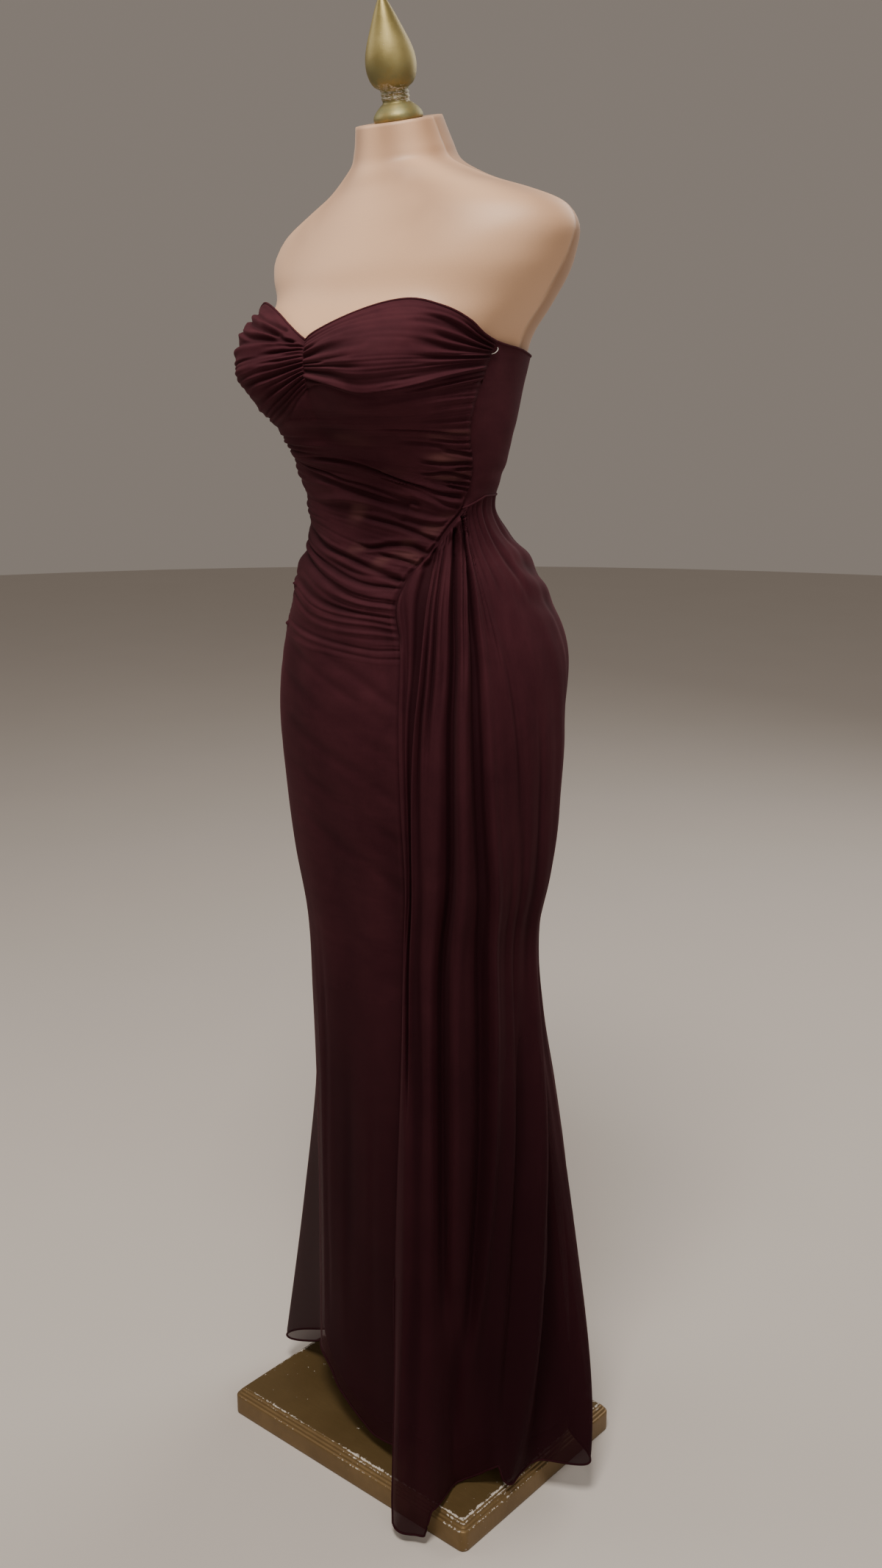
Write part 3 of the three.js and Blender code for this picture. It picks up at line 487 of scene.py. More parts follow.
def grid_faces(rows, columns, closed=False, looped=False):
    """Faces between rows of points that run up; closed joins the columns round, looped the rows."""
    k, j = np.indices((rows - (not looped), columns - (not closed)))
    a, b = k * columns + j, k * columns + (j + 1) % columns
    corners = np.stack([a, b, b + columns, a + columns], -1) % (rows * columns)
    return corners.reshape(-1, 4).tolist()


def tube(name, path, radius, sides=8, closed=False):
    """A round cord of cloth along a path; radius may vary along it."""
    path = np.asarray(path, float)
    radius = np.broadcast_to(np.asarray(radius, float), (len(path),))
    ahead = np.roll(path, -1, 0) - np.roll(path, 1, 0) if closed else np.gradient(path, axis=0)
    ahead /= np.linalg.norm(ahead, axis=1, keepdims=True)
    side = np.cross(ahead, [0.13, 0.21, 0.97])
    side /= np.linalg.norm(side, axis=1, keepdims=True)
    over = np.cross(side, ahead)
    turn = circle(sides)
    ring = np.cos(turn)[None, :, None] * side[:, None] + np.sin(turn)[None, :, None] * over[:, None]
    points = path[:, None] + ring * radius[:, None, None]
    faces = grid_faces(len(path), sides, closed=True, looped=closed)
    if not closed:
        ends = np.arange(len(path) * sides).reshape(-1, sides)
        faces += [ends[0, ::-1].tolist(), ends[-1].tolist()]
    return mesh_object(name, points, faces)


def ring_solid(name, rings, low, high, attributes=None):
    """A closed solid from rings[row][column], fanned in to the points low and high at its ends."""
    rows, columns = rings.shape[:2]
    base, hub, last = rows * columns, rows * columns + 1, (rows - 1) * columns
    faces = grid_faces(rows, columns, closed=True)
    faces += [[(j + 1) % columns, j, base] for j in range(columns)]
    faces += [[last + j, last + (j + 1) % columns, hub] for j in range(columns)]
    attributes = {key: [*np.ravel(values), 0, 0] for key, values in (attributes or {}).items()}
    return mesh_object(name, np.vstack([rings.reshape(-1, 3), low, high]), faces, attributes)


def lathe(name, profile, segments):
    """A turned solid around +Z, from (radius, height) rows that start and end on the axis."""
    radius, height = np.array(profile, float)[1:-1, :, None].transpose(1, 0, 2)
    turn = circle(segments)
    rings = np.stack([radius * np.cos(turn), radius * np.sin(turn), height + 0 * turn], -1)
    return ring_solid(name, rings, (0, 0, profile[0][1]), (0, 0, profile[-1][1]))


# ---- cloth pieces
PIECES = {}


def settled(relief, floor=-2.8, soft=0.7):
    """Troughs flatten softly where the cloth meets the form under it."""
    return floor + soft * np.logaddexp(0, (relief + 0.6 - floor) / soft)


def cloth(name, angle, z, relief, attributes=None, floor=-2.8, crests=0):
    """A cloth sheet on the gown's outer face, moved out by its relief along the face's normal.

    An attribute says how deep each point lies under the crests beside it; the chiffon's colour darkens
    with it as painted shade."""
    reach = settled(relief, floor)
    PIECES[name] = points = raised(gown_base, angle, z, reach)
    # painted shade: the deeper a point lies under the crests beside it, the darker its chiffon is coloured
    painted_shade = ease(crests - reach, 0.2, 3.4)
    # low on the wearer's left the drape hangs two and three layers deep; painted shadow darkens its
    # chiffon there
    painted_drape_shadow = ease(angle, 46, 62) * ease(angle, 108, 84) * ease(z, 860, 260)
    shown = {"painted_shade": np.maximum(painted_shade, painted_drape_shadow), **(attributes or {})}
    return mesh_object(name, points, grid_faces(*points.shape[:2]), shown)


def both_seams(share, width):
    """The seams at both edges of a piece that is about so wide."""
    return seam_line(share * width) + seam_line((1 - share) * width)


def inside(share, margin=0.06):
    """1 over a piece and 0 at its two sewn edges, so that pieces meet at their seams."""
    return ease(share, 0, margin) * ease(share, 1, 1 - margin)


def seam_line(distance):
    """A stitched seam pulls the cloth in."""
    return -1.4 * bell(distance, 0, 2.4)


def zip_ridge(distance, z):
    """The zip's tape stands up a little under the cloth beside the centre-back seam."""
    return 0.9 * bell(distance, 5, 2.6, 4) * ease(z, 1040, 1060)


def levels_between(stops, steps):
    """Row heights: between each two stops, evenly, with about the given step."""
    spans = zip(stops[:-1], stops[1:], steps)
    rows = [np.linspace(low, high, round((high - low) / step) + 1) for low, high, step in spans]
    return np.unique(np.concatenate(rows))[:, None]


def hem_lift(angle):
    """How far the front hem is above the rest: it sweeps up beside the right front fold."""
    return along(HEM_LIFT, angle)


def front_piece():
    levels = levels_between([HEM, 1000, 1040, CUP_SIDE], [7, 3, 1.15])
    shares = np.linspace(0, 1, 200)
    seam = seam_angle(levels)
    angle = spread(RIGHT_SIDE, seam, shares)
    z = levels + (cup_edge(angle) - cup_edge(seam)) * ease(levels, KNOT, CUP_SIDE)
    z = z + hem_lift(angle) * near_hem(levels)
    share = shares + 0 * angle
    straight = flow_coordinate(FRONT_FLOW, FRONT_FLOW_AT, share, z)
    line = straight + 1.8 * inside(share, 0.12) * ripples(23, share * 330, straight, 180, 60, 8)
    gathered = ease(z, 1036, 1062)
    few = 1 - 0.45 * ease(line, 1135, 1160) * ease(line, 1306, 1292)
    fine = few * scatter(
        line, share, (11, 1042, 1338, 3.4, 1, (0.55, 0.9), (1, 1), (0.14, 0.01), 0.31),
        (12, 1042, 1335, 5.5, 1, (0, 0.5), (0.5, 0.98), (0.2, 0.2), 0.24))
    fine += scatter(line, share, (13, 1050, 1325, 6, 1.4, (-0.3, -0.1), (0.2, 0.5), (0.05, 0.18), 0.3))
    folds = skirt_relief(angle, z, "R")
    weight = 0.55 + 0.45 * ease(line, 1060, 1150)
    relief = folds + gathered * weight * (
        fine + 1.1 * creases(FRONT_CREASES, line, share) + 1.25 * strokes(FRONT_STROKES, line, share))
    # two knots of cloth where the gathers turn the right side
    for at, height in ((-46, 1114), (-50, 1066)):
        relief += 3.4 * bell(angle, at, 2.2) * bell(z, height, 2.6)
    relief += 1.3 * gathered * inside(share) * ripples(21, share * 330, line, 160, 42)
    # below the gathers the cloth hangs flat, with faint creases from the hip to the knee
    relief += (1 - gathered) * ripples(22, angle * 2.4, z, 70, 520)
    below = ease(z, 60, 300) * (1 - gathered)
    relief += below * creases([
        (0.3, 0.03, 0.8, 300, 900, 200, 150), (0.55, 0.022, 0.9, 100, 760, 120, 200),
        (0.72, 0.028, 0.9, 80, 620, 100, 200), (0.86, 0.02, 0.8, 60, 700, 100, 250),
    ], share, z)
    # soft drag lines that sag across the thigh
    sag = z + 95 * share**2
    relief += (1 - gathered) * ease(z, 560, 760) * creases([
        (1092, 6, 0.9, 0.25, 1, 0.3, 0.02), (1066, 5, 0.8, 0.3, 1, 0.3, 0.02),
        (1030, 7, 0.8, 0.2, 1, 0.3, 0.02), (985, 7, 0.9, 0.3, 1, 0.3, 0.02),
        (935, 8, 0.8, 0.25, 1, 0.3, 0.02), (880, 8, 0.8, 0.3, 1, 0.3, 0.02),
    ], sag, share)
    relief *= 1 - ease(levels, CUP_SIDE - 6, CUP_SIDE)
    relief += seam_line(CUP_SIDE - levels)
    from_seam = (1 - share) * (seam - RIGHT_SIDE) * 2.1
    relief += seam_line(from_seam) + ease(z, 690, 800) * bell(from_seam, 4.5, 1.8)
    thin = np.zeros(angle.shape)
    for at, height, wide, high, strength in THIN_PLACES:
        thin = np.maximum(thin, strength * bell(share, at, wide, 3) * bell(line, height, high, 2.5))
    thin *= 0.75 + 0.25 * ripples(24, share * 330, line, 60, 9)
    return cloth("chiffon_front", angle, z, relief, {"thin": thin}, crests=folds + 1.2)


def left_cup():
    up = np.linspace(0, 1, 110)[:, None]
    shares = np.linspace(0, 1, 150)
    level = spread(CUP_SIDE, SEAM_TOP, up)
    seam = seam_angle(level)
    angle = spread(0, seam, shares)
    z = spread(cup_edge(angle), neckline(angle), up)
    z = z + (level - spread(cup_edge(seam), neckline(seam), up)) * shares**2
    share = shares + 0 * angle
    line = flow_coordinate(LEFT_CUP_FLOW, LEFT_CUP_FLOW_AT, share, z)
    relief = 1.35 * creases(LEFT_CUP_CREASES, line, share)
    relief += scatter(
        line, share, (31, 1, 39, 1.5, 1.2, (0.45, 0.85), (1, 1), (0.1, 0.01)),
        (34, 2, 39, 1.6, 0.45, (-1, 0.4), (0.5, 1.2), (0.2, 0.2), 0.26),
        (32, 12, 38, 1.7, 1.1, (-1, -1), (0.1, 0.48), (0.1, 0.1)))
    relief += 0.8 * inside(share) * ripples(33, share * 200, line * 2, 120, 30)
    relief = relief * inside(share, 0.01) * ease(up, 0, 0.06)
    relief += both_seams(share, 170) + seam_line(up * 90)
    return cloth("chiffon_cup_left", angle, z, relief, crests=1.2)


def right_cup():
    up = np.linspace(0, 1, 120)[:, None]
    angle = np.linspace(RIGHT_SIDE, 0, 200) + 0 * up
    z = spread(cup_edge(angle), neckline(angle), up)
    line = flow_coordinate(RIGHT_CUP_FLOW, RIGHT_CUP_FLOW_AT, angle, z)
    relief = 1.3 * creases(RIGHT_CUP_CREASES, line, angle) + strokes(RIGHT_CUP_STROKES, z, angle)
    relief += scatter(
        line, angle, (41, 1, 44, 1.9, 1.3, (-22, -10), (0, 0), (7, 0.5)),
        (42, 2, 44, 3.2, 1.4, (-60, -40), (-26, -10), (12, 12)))
    relief += 0.9 * ripples(43, angle * 2.6, line * 1.6, 110, 26)
    relief = relief * inside((angle - RIGHT_SIDE) / -RIGHT_SIDE, 0.01) * ease(up, 0, 0.06)
    relief += seam_line(angle * 2.4) + seam_line((angle - RIGHT_SIDE) * 2.4) + seam_line(up * 90)
    return cloth("chiffon_cup_right", angle, z, relief, crests=1.2)


SIDE_SHARE = (90 - 72) / (CENTRE_BACK - 72)


def waist_left(share):
    return np.where(
        share < SIDE_SHARE, spread(KNOT, WAIST_SIDE, share / SIDE_SHARE),
        spread(WAIST_SIDE, WAIST_BACK, (share - SIDE_SHARE) / (1 - SIDE_SHARE)),
    )


def smooth_back(name, angle, z, share, from_zip, seed, drags):
    """A plain panel of the bodice's back, with faint drag lines that rise towards the zip."""
    relief = 0.5 * ripples(seed, share * 220, z, 90, 60) * inside(share)
    relief += both_seams(share, 200) + zip_ridge(from_zip * 200, z)
    relief += creases(drags, z + 14 * (1 - from_zip), share)
    return cloth(name, angle, z, relief)


def back_left():
    levels = levels_between([KNOT, SEAM_TOP], [2.4])
    shares = np.linspace(0, 1, 120)
    angle = spread(seam_angle(levels), CENTRE_BACK, shares)
    top = neckline(spread(81.5, CENTRE_BACK, shares))
    z = spread(waist_left(shares), top, (levels - KNOT) / (SEAM_TOP - KNOT))
    share = shares + 0 * angle
    return smooth_back("chiffon_back_left", angle, z, share, 1 - share, 51, [
        (1232, 5, 0.9, 0.02, 0.4, 0.05, 0.2), (1248, 6, 0.8, 0.1, 0.7, 0.1, 0.3),
        (1290, 7, 0.6, 0.3, 1, 0.2, 0.1), (1226, 4, 0.8, 0.5, 1, 0.2, 0.1),
    ])


def back_right():
    up = np.linspace(0, 1, 70)[:, None]
    shares = np.linspace(0, 1, 110)
    angle = spread(-CENTRE_BACK, RIGHT_SIDE, shares) + 0 * up
    z = spread(spread(WAIST_BACK, KNOT, shares), neckline(angle), up)
    share = shares + 0 * angle
    return smooth_back("chiffon_back_right", angle, z, share, share, 52, [
        (1232, 5, 0.9, 0.6, 0.98, 0.2, 0.05), (1250, 6, 0.8, 0.3, 0.9, 0.3, 0.1),
        (1292, 7, 0.6, 0, 0.7, 0.1, 0.2),
    ])


def hem_left(share):
    return np.interp(spread(27, CENTRE_BACK, share), [r[0] for r in LEFT_HEM], [r[1] for r in LEFT_HEM])


def skirt_heights(levels, shares, hem, waist):
    drop = (hem(shares) - HEM) * near_hem(levels)
    rise = (waist(shares) - KNOT) * np.clip((levels - 1050) / (KNOT - 1050), 0, 1)
    return levels + drop + rise


def left_skirt():
    levels = levels_between([HEM, 420, 1040, KNOT], [4, 6, 2])
    shares = np.concatenate([
        np.linspace(0, 0.12, 70)[:-1], np.linspace(0.12, 0.5, 130)[:-1], np.linspace(0.5, 1, 60),
    ])
    angle = spread(seam_angle(levels) + 5 * near_hem(levels), CENTRE_BACK, shares)
    z = skirt_heights(levels, shares, hem_left, waist_left)
    line = flow_coordinate(SKIRT_FLOW, SKIRT_FLOW_AT, z, angle)
    folds = skirt_relief(angle, z, "L")
    relief = folds + creases(SKIRT_CREASES, line, z)
    relief += scatter(
        line, z, (61, 29, 76, 2.2, 2, (1030, 1140), (1290, 1300), (60, 5), 0.3),
        (62, 29, 84, 5.5, 1.6, (420, 760), (860, 1120), (240, 200), 0.26),
        (63, 104, 178, 9, 2, (50, 300), (700, 1205), (200, 120), 0.26),
        (64, 76, 178, 6, 1.9, (1090, 1170), (1300, 1300), (50, 5), 0.3))
    lift = 6 * bell(line, 45, 16) * ease(z, 400, 900) * ease(z, 1205, 1150)
    relief += lift + ease(z, 1240, 900) * ripples(65, line * 2.4, z, 34, 520)
    edge = np.maximum(0, (angle - seam_angle(levels)) * DEGREE)
    # along the diagonal the pleats turn down into the seam
    relief = relief * (1 - ease(z, 1052, 1080) * ease(edge, 8, 0))
    relief += np.where(z > 300, seam_line(edge), 0) + seam_line((CENTRE_BACK - angle) * DEGREE)
    relief += zip_ridge((CENTRE_BACK - angle) * DEGREE, z)
    # small puffs over the hip where the gathers are caught
    relief += 2.6 * bell(angle, 116, 16) * bell(z, 1130, 42) * np.sin(z / 6.5 + angle / 9)
    return cloth("chiffon_skirt_left", angle, z, relief, crests=folds + 1 + lift)


def back_skirt():
    levels = levels_between([HEM, 420, KNOT], [5, 7])
    shares = np.linspace(0, 1, 150)
    angle = spread(-CENTRE_BACK, RIGHT_SIDE, shares) + 0 * levels
    z = skirt_heights(
        levels, shares, lambda s: HEM + hem_lift(angle), lambda s: spread(WAIST_BACK, KNOT, s))
    folds = skirt_relief(angle, z, "R")
    relief = folds + scatter(
        angle, z, (71, -178, -92, 7, 2, (60, 400), (760, 1190), (220, 120), 0.26),
        (72, -178, -92, 5, 1.9, (1090, 1170), (1300, 1300), (50, 5), 0.3))
    relief += 0.9 * ripples(73, angle * 2.4, z, 40, 520) * ease(z, 1240, 900)
    relief += seam_line((angle + CENTRE_BACK) * DEGREE) + zip_ridge((angle + CENTRE_BACK) * DEGREE, z)
    return cloth("chiffon_skirt_back", angle, z, relief, crests=folds + 1)


def underskirt(name, start, end):
    levels = levels_between([52, 741], [16])
    angle = np.linspace(start, end, 70) + 0 * levels
    lift = np.maximum(0, hem_lift(np.where(angle > 180, angle - 360, angle))) + 6
    lift = np.where(angle < 26, lift, 6 + 16 * bell(angle, 57, 8))
    z = levels + lift * ease(levels, 300, 52)
    relief = 0.5 * ripples(81, angle * 2.5, z, 60, 400) - 5.4
    # it opens out a little under the drape
    drape_side = ease(angle, 26, 50) * ease(angle, 185, 150)
    out = 0.5 * along(LEFT_FLARE, angle) + 24 * bell(angle, 105, 25)
    relief += drape_side * out * flared(z)
    return cloth(name, angle, z, relief, floor=-6.5)


front = front_piece()
cup_left = left_cup()
cup_right = right_cup()
bodice_left = back_left()
bodice_right = back_right()
skirt_left = left_skirt()
skirt_back = back_skirt()
under_front = underskirt("underskirt_front", -90, 90)
under_back = underskirt("underskirt_back", 90, 270)

# ---- edges of the cloth
top_path = np.vstack([
    PIECES["chiffon_back_right"][-1], PIECES["chiffon_cup_right"][-1][1:],
    PIECES["chiffon_cup_left"][-1][1:], PIECES["chiffon_back_left"][-1][1:-1],
])
neck_roll = tube("neckline_roll", top_path, 1.15, closed=True)
hem_front_roll = tube("hem_roll_front", np.vstack([
    PIECES["chiffon_skirt_back"][0], PIECES["chiffon_front"][0][1:],
]), 1.4)
drape = PIECES["chiffon_skirt_left"]
free_rows = int(np.searchsorted(drape[:, 0, 2], 300))
hem_left_roll = tube("hem_roll_left", np.vstack([drape[free_rows:0:-1, 0], drape[0]]), 1.3)
waist_roll = tube("waist_piping", np.vstack([
    PIECES["chiffon_back_left"][0], PIECES["chiffon_back_right"][0][1:],
]) * [1.004, 1.004, 1], 1.2)

# ---- form, stand and finial
ROUND = 160


def torso_cover():
    levels = levels_between([FORM_FOOT, 1360, 1500, FORM_TOP], [12, 6, 2.2])
    turn = np.linspace(-180, 180, ROUND, endpoint=False)
    angle, height = turn + 0 * levels, levels + 0 * turn
    # the gown presses the padding in by a hair, and in front the neck runs into the chest softly
    moved = 3.5 * bell(height, 1550, 17) * ease(np.cos(np.radians(angle)), 0.2, 0.8)
    moved -= 1.8 * ease(neckline(angle) - height, 5, 16)
    points = raised(form_point, angle, height, moved)
    top = points[-1]
    middle = top.mean(0)
    # the neck's edge is softly rounded over onto a flat top
    steps = ((0.985, 0.4), (0.93, 0.7), (0.6, 0.8), (0.25, 0.8))
    caps = [spread(middle, top, share) + [0, 0, rise] for share, rise in steps]
    rings = np.concatenate([points, np.array(caps)])
    height = np.vstack([levels, [[FORM_TOP]] * len(caps)])
    around = turn + 0 * height
    # where the front and the back of the cover are sewn together
    seam_at = [(1360, 97), (1400, 95), (1440, 92), (1480, 96), (1505, 101), (1530, 98), (FORM_TOP, 93)]
    line = np.interp(height, *zip(*seam_at))
    # the material colours the back panel darker, as painted shade
    behind = ease(np.abs(around), line - 2, line + 2)
    seam = bell(np.abs(around), line, 0.9)
    # painted sheen and shade: the cover's colour darkens in soft bands that run up the neck, standing in
    # for the stretched satin's shine
    painted_sheen_band = (0.5 - 0.5 * np.cos(2 * np.pi * around / 53)) * ease(height, 1420, 1540)
    shown = {"behind": behind, "seam": seam, "painted_sheen_band": painted_sheen_band}
    return ring_solid("form_cover", rings, points[0].mean(0), caps[-1].mean(0), shown)


def plinth_moulding():
    # inset and height along the side of the plinth, and how exposed each edge is to knocks
    profile = [
        (1.2, 0, 0.2), (0.3, 0.3, 0.3), (0, 1.2, 0.2), (0, 6, 0), (0, 13, 0), (0, 20, 0), (0, 24.6, 0),
        (0.15, 25.6, 0.3), (0.7, 26.5, 0.62), (1.7, 27, 0.4), (2.7, 27.05, 0), (3.05, 27.5, 0),
        (3.1, 28.7, 0), (3.3, 29.5, 0.2), (3.9, 30.3, 0.3), (4.8, 30.6, 0.1), (5.7, 30.6, 0),
        (6, 31, 0), (6.1, 32.2, 0.1), (6.35, 33, 0.5), (7, 33.75, 0.7), (7.9, 34, 0.3), (8.7, 34, 0),
        (9.1, 34.5, 0.3), (9.35, 35.4, 0.8), (9.9, 36, 1), (11.2, 36, 0.75), (13, 36, 0.3), (20, 36, 0),
    ]
    per_side, per_corner = 56, 8
    rings, knocks = [], []
    for inset, z, knock in profile:
        ring, turned = [], []
        radius = max(9 - inset, 2)
        for sx, sy, start in ((1, -1, 270), (1, 1, 0), (-1, 1, 90), (-1, -1, 180)):
            turn = np.radians(start + np.linspace(0, 90, per_corner + 1))
            turned.append(np.stack([
                sx * (200 - inset - radius) + radius * np.cos(turn),
                sy * (150 - inset - radius) + radius * np.sin(turn),
            ], -1))
        for c in range(4):
            ring.append(turned[c])
            share = np.linspace(0, 1, per_side + 1)[1:-1, None]
            ring.append(spread(turned[c][-1], turned[(c + 1) % 4][0], share))
        ring = np.vstack(ring)
        rings.append(np.column_stack([ring, np.full(len(ring), z)]))
        knocks.append(np.full(len(ring), knock))
    for scale in (0.66, 0.33):
        rings.append(rings[len(profile) - 1] * [scale, scale, 1])
        knocks.append(np.zeros(len(ring)))
    rings = np.array(rings)
    corner = ease(np.abs(rings[..., 0]), 150, 196) * ease(np.abs(rings[..., 1]), 100, 146)
    exposed = {"knock": np.array(knocks), "corner": corner}
    return ring_solid("plinth_moulding", rings, (0, 0, 0), (0, 0, PLINTH_TOP), exposed)


FINIAL_PROFILE = [
    (0, 0), (25.2, 0), (26, 1.2), (26.2, 3), (25.9, 5), (25, 7), (23.5, 9), (21.8, 11), (19.6, 13),
    (17.5, 15), (15.8, 16.3), (14.6, 17.2), (14.1, 18.6), (14.2, 20), (14.8, 21.2), (15, 22), (14.7, 23),
    (14, 24), (14.7, 25), (15, 26), (14.7, 27), (14, 28), (14.7, 29), (15, 30), (15.4, 30.8), (16.6, 31.6),
    (18.5, 32.5), (20.7, 34.4), (22.6, 37), (24.2, 40.2), (25.4, 44), (26.3, 48.5), (26.6, 53),
    (26.4, 57.5), (25.8, 62), (24.8, 66.5), (23.4, 71), (21.8, 75.5), (20, 80), (17.9, 85), (15.8, 90),
    (13.7, 95), (11.6, 100), (9.4, 104.8), (7.4, 109), (5.7, 112.3), (4.2, 115), (3.3, 116.8),
    (2.4, 118), (1.2, 118.8), (0, 119),
]

form_cover = torso_cover()
plinth = plinth_moulding()
finial = lathe("finial_turning", FINIAL_PROFILE, 72)
finial.data.transform(
    Matrix.Translation((0, -0.026, FORM_TOP * MM)) @ Matrix.Rotation(NECK_LEAN, 4, "X")
    @ Matrix.Translation((0, 0, 0.0009))
)
pole = lathe("stand_pole_turning", [
    (0, 36.3), (41.5, 36.3), (42, 36.9), (42, 41.5), (41, 43.5), (39, 45), (19, 45.3), (16, 47.5),
    (14.3, 50.5), (14, 54), (14, 400), (14, FORM_FOOT - 0.3), (0, FORM_FOOT - 0.3),
], 48)
# a stray white thread where the cups meet the back: angle, height, how far it stands off
THREAD = np.array([
    [80.3, 1367, 0.8], [81, 1368, 1.9], [81.6, 1370, 2.4], [81.9, 1372, 2], [81.9, 1373.4, 1],
])
bend = np.linspace(0, len(THREAD) - 1, 24)
loop = [curve_at(np.arange(len(THREAD)), THREAD[:, c], bend) for c in range(3)]
thread = tube("loose_thread", raised(gown_base, *loop), 0.4, 6)


# ---- materials
def material(name, build):
    """A material from what build gives each of its shader's sockets: a number, a colour or a node."""
    made = bpy.data.materials.new(name)
    made.use_nodes = True
    n = Nodes(made.node_tree)
    for socket, value in build(n).items():
        n.put(value, made.node_tree.nodes["Principled BSDF"].inputs[socket])
    return made


class Nodes:
    """Short calls that add nodes to a material."""

    def __init__(self, tree):
        self.tree = tree

    def add(self, kind, inputs=None, **settings):
        node = self.tree.nodes.new("ShaderNode" + kind)
        for key, value in settings.items():
            setattr(node, key, value)
        for key, value in (inputs or {}).items():
            self.put(value, node.inputs[key])
        return node

    def put(self, value, socket):
        if isinstance(value, bpy.types.NodeSocket):
            self.tree.links.new(value, socket)
        else:
            socket.default_value = (*value, 1) if socket.type == "RGBA" else value

    def position(self, scale):
        place = self.add("TexCoord").outputs["Object"]
        return self.add("Mapping", {"Vector": place, "Scale": scale}).outputs[0]

    def noise(self, scale, detail=3, roughness=0.5, stretch=(1, 1, 1), distortion=0):
        return self.add("TexNoise", {
            "Vector": self.position(stretch), "Scale": scale, "Detail": detail,
            "Roughness": roughness, "Distortion": distortion,
        }).outputs["Fac"]

    def ramp(self, value, low, high, out_low=0, out_high=1):
        return self.add("MapRange", {
            "Value": value, "From Min": low, "From Max": high, "To Min": out_low, "To Max": out_high,
        }).outputs["Result"]

    def math(self, operation, a, b):
        return self.add("Math", {0: a, 1: b}, operation=operation).outputs[0]

    def times(self, a, b):
        return self.math("MULTIPLY", a, b)

    def plus(self, a, b):
        return self.math("ADD", a, b)

    def less(self, a, b):
        return self.math("SUBTRACT", a, b)

    def mix(self, share, a, b):
        node = self.add("Mix", data_type="RGBA")
        self.put(share, node.inputs["Factor"])
        self.put(a, node.inputs["A"])
        self.put(b, node.inputs["B"])
        return node.outputs["Result"]

    def height(self):
        place = self.add("TexCoord").outputs["Object"]
        return self.add("SeparateXYZ", {0: place}).outputs["Z"]

    def attribute(self, name):
        return self.add("Attribute", attribute_name=name).outputs["Fac"]

    def bump(self, height, distance, strength=1, normal=None):
        inputs = {"Height": height, "Distance": distance, "Strength": strength}
        if normal is not None:
            inputs["Normal"] = normal
        return self.add("Bump", inputs).outputs[0]


def chiffon_nodes(n, least=1, crinkle="up", thin=False):
    mottle = n.noise(16, 4, 0.6, (1, 1, 0.8), 0.4)
    base = n.mix(n.ramp(mottle, 0.35, 0.68), (0.048, 0.0122, 0.0178), (0.069, 0.018, 0.025))
    streak = n.noise(70, 3, 0.6, (1, 1, 0.06) if crinkle == "up" else (0.25, 0.25, 1), 0.2)
    base = n.mix(n.ramp(streak, 0.35, 0.72, 0, 0.35), base, (0.026, 0.0055, 0.0095))
    grain = n.noise(900, 2, 0.6, (1, 1, 0.25))
    base = n.mix(n.ramp(grain, 0.3, 0.7, 0, 0.2), base, (0.075, 0.021, 0.03))
    # darker towards the bottom: painted shade where less light reaches low down, and in part the dark
    # lining showing through where the chiffon hangs clear of it
    clear = n.ramp(n.height(), 0.3, 1.34, 0.74, 0)
    base = n.mix(clear, base, (0.013, 0.0016, 0.0032))
    # painted shade: the chiffon is coloured darker in the hollows under its crests and low on the drape,
    # less so on the cups
    painted_shade_share = n.times(n.attribute("painted_shade"), n.ramp(n.height(), 1.1, 1.2, 0.64, 0.4))
    base = n.mix(painted_shade_share, base, (0.013, 0.0025, 0.0045))
    if thin:
        base = n.mix(n.times(n.attribute("thin"), 0.75), base, (0.15, 0.062, 0.058))
    upright = n.noise(300, 3, 0.6, (1, 1, 0.14), 0.5)
    level = n.noise(300, 3, 0.6, (0.22, 0.22, 1), 0.5)
    crepe = {"up": upright, "level": level}.get(crinkle)
    if crepe is None:
        share = n.ramp(n.height(), 1.035, 1.065)
        crepe = n.plus(n.times(level, share), n.times(upright, n.less(1, share)))
    normal = n.bump(crepe, 0.0006, 0.16)
    looks = {
        "Base Color": base, "Roughness": 0.76, "Specular IOR Level": 0.07, "Sheen Weight": 0.055,
        "Sheen Roughness": 0.4, "Sheen Tint": (0.62, 0.22, 0.27),
        "Normal": n.bump(n.noise(1500, 1, 0.5), 0.0002, 0.2, normal),
    }
    if least < 1:
        looks["Alpha"] = n.ramp(n.height(), 0.56, 0.72, least, 1)
    return looks


def lining_nodes(n):
    weave = n.noise(700, 2, 0.5, (1, 1, 0.3))
    return {
        "Base Color": n.mix(weave, (0.026, 0.0065, 0.01), (0.036, 0.0095, 0.013)),
        "Roughness": 0.8, "Specular IOR Level": 0.2, "Normal": n.bump(weave, 0.0003, 0.3),
    }


def jersey_nodes(n):
    soft = n.noise(5, 2, 0.5)
    front = n.mix(soft, (0.7, 0.418, 0.246), (0.76, 0.475, 0.296))
    # painted sheen and shade: darker bands up the neck stand in for the satin's shine
    painted_sheen_band = n.times(n.attribute("painted_sheen_band"), n.ramp(n.noise(14, 2, 0.5), 0.35, 0.6, 0.6, 1))
    front = n.mix(painted_sheen_band, front, (0.46, 0.265, 0.155))
    # painted shade: the cover's back panel, past the side seam, is coloured darker where it turns away
    # from the light
    back = n.mix(soft, (0.37, 0.215, 0.13), (0.43, 0.26, 0.16))
    base = n.mix(n.attribute("behind"), front, back)
    base = n.mix(n.times(n.attribute("seam"), 0.55), base, (0.34, 0.22, 0.15))
    knit = n.noise(1300, 2, 0.6, (1, 1, 0.5))
    base = n.mix(n.ramp(knit, 0.35, 0.7, 0, 0.16), base, (0.48, 0.31, 0.2))
    groove = n.bump(n.less(0, n.attribute("seam")), 0.0012, 0.6)
    return {
        "Base Color": base, "Roughness": n.ramp(n.attribute("behind"), 0, 1, 0.5, 0.85),
        "Specular IOR Level": 0.5, "Sheen Weight": 0.12, "Normal": n.bump(knit, 0.0003, 0.3, groove),
    }


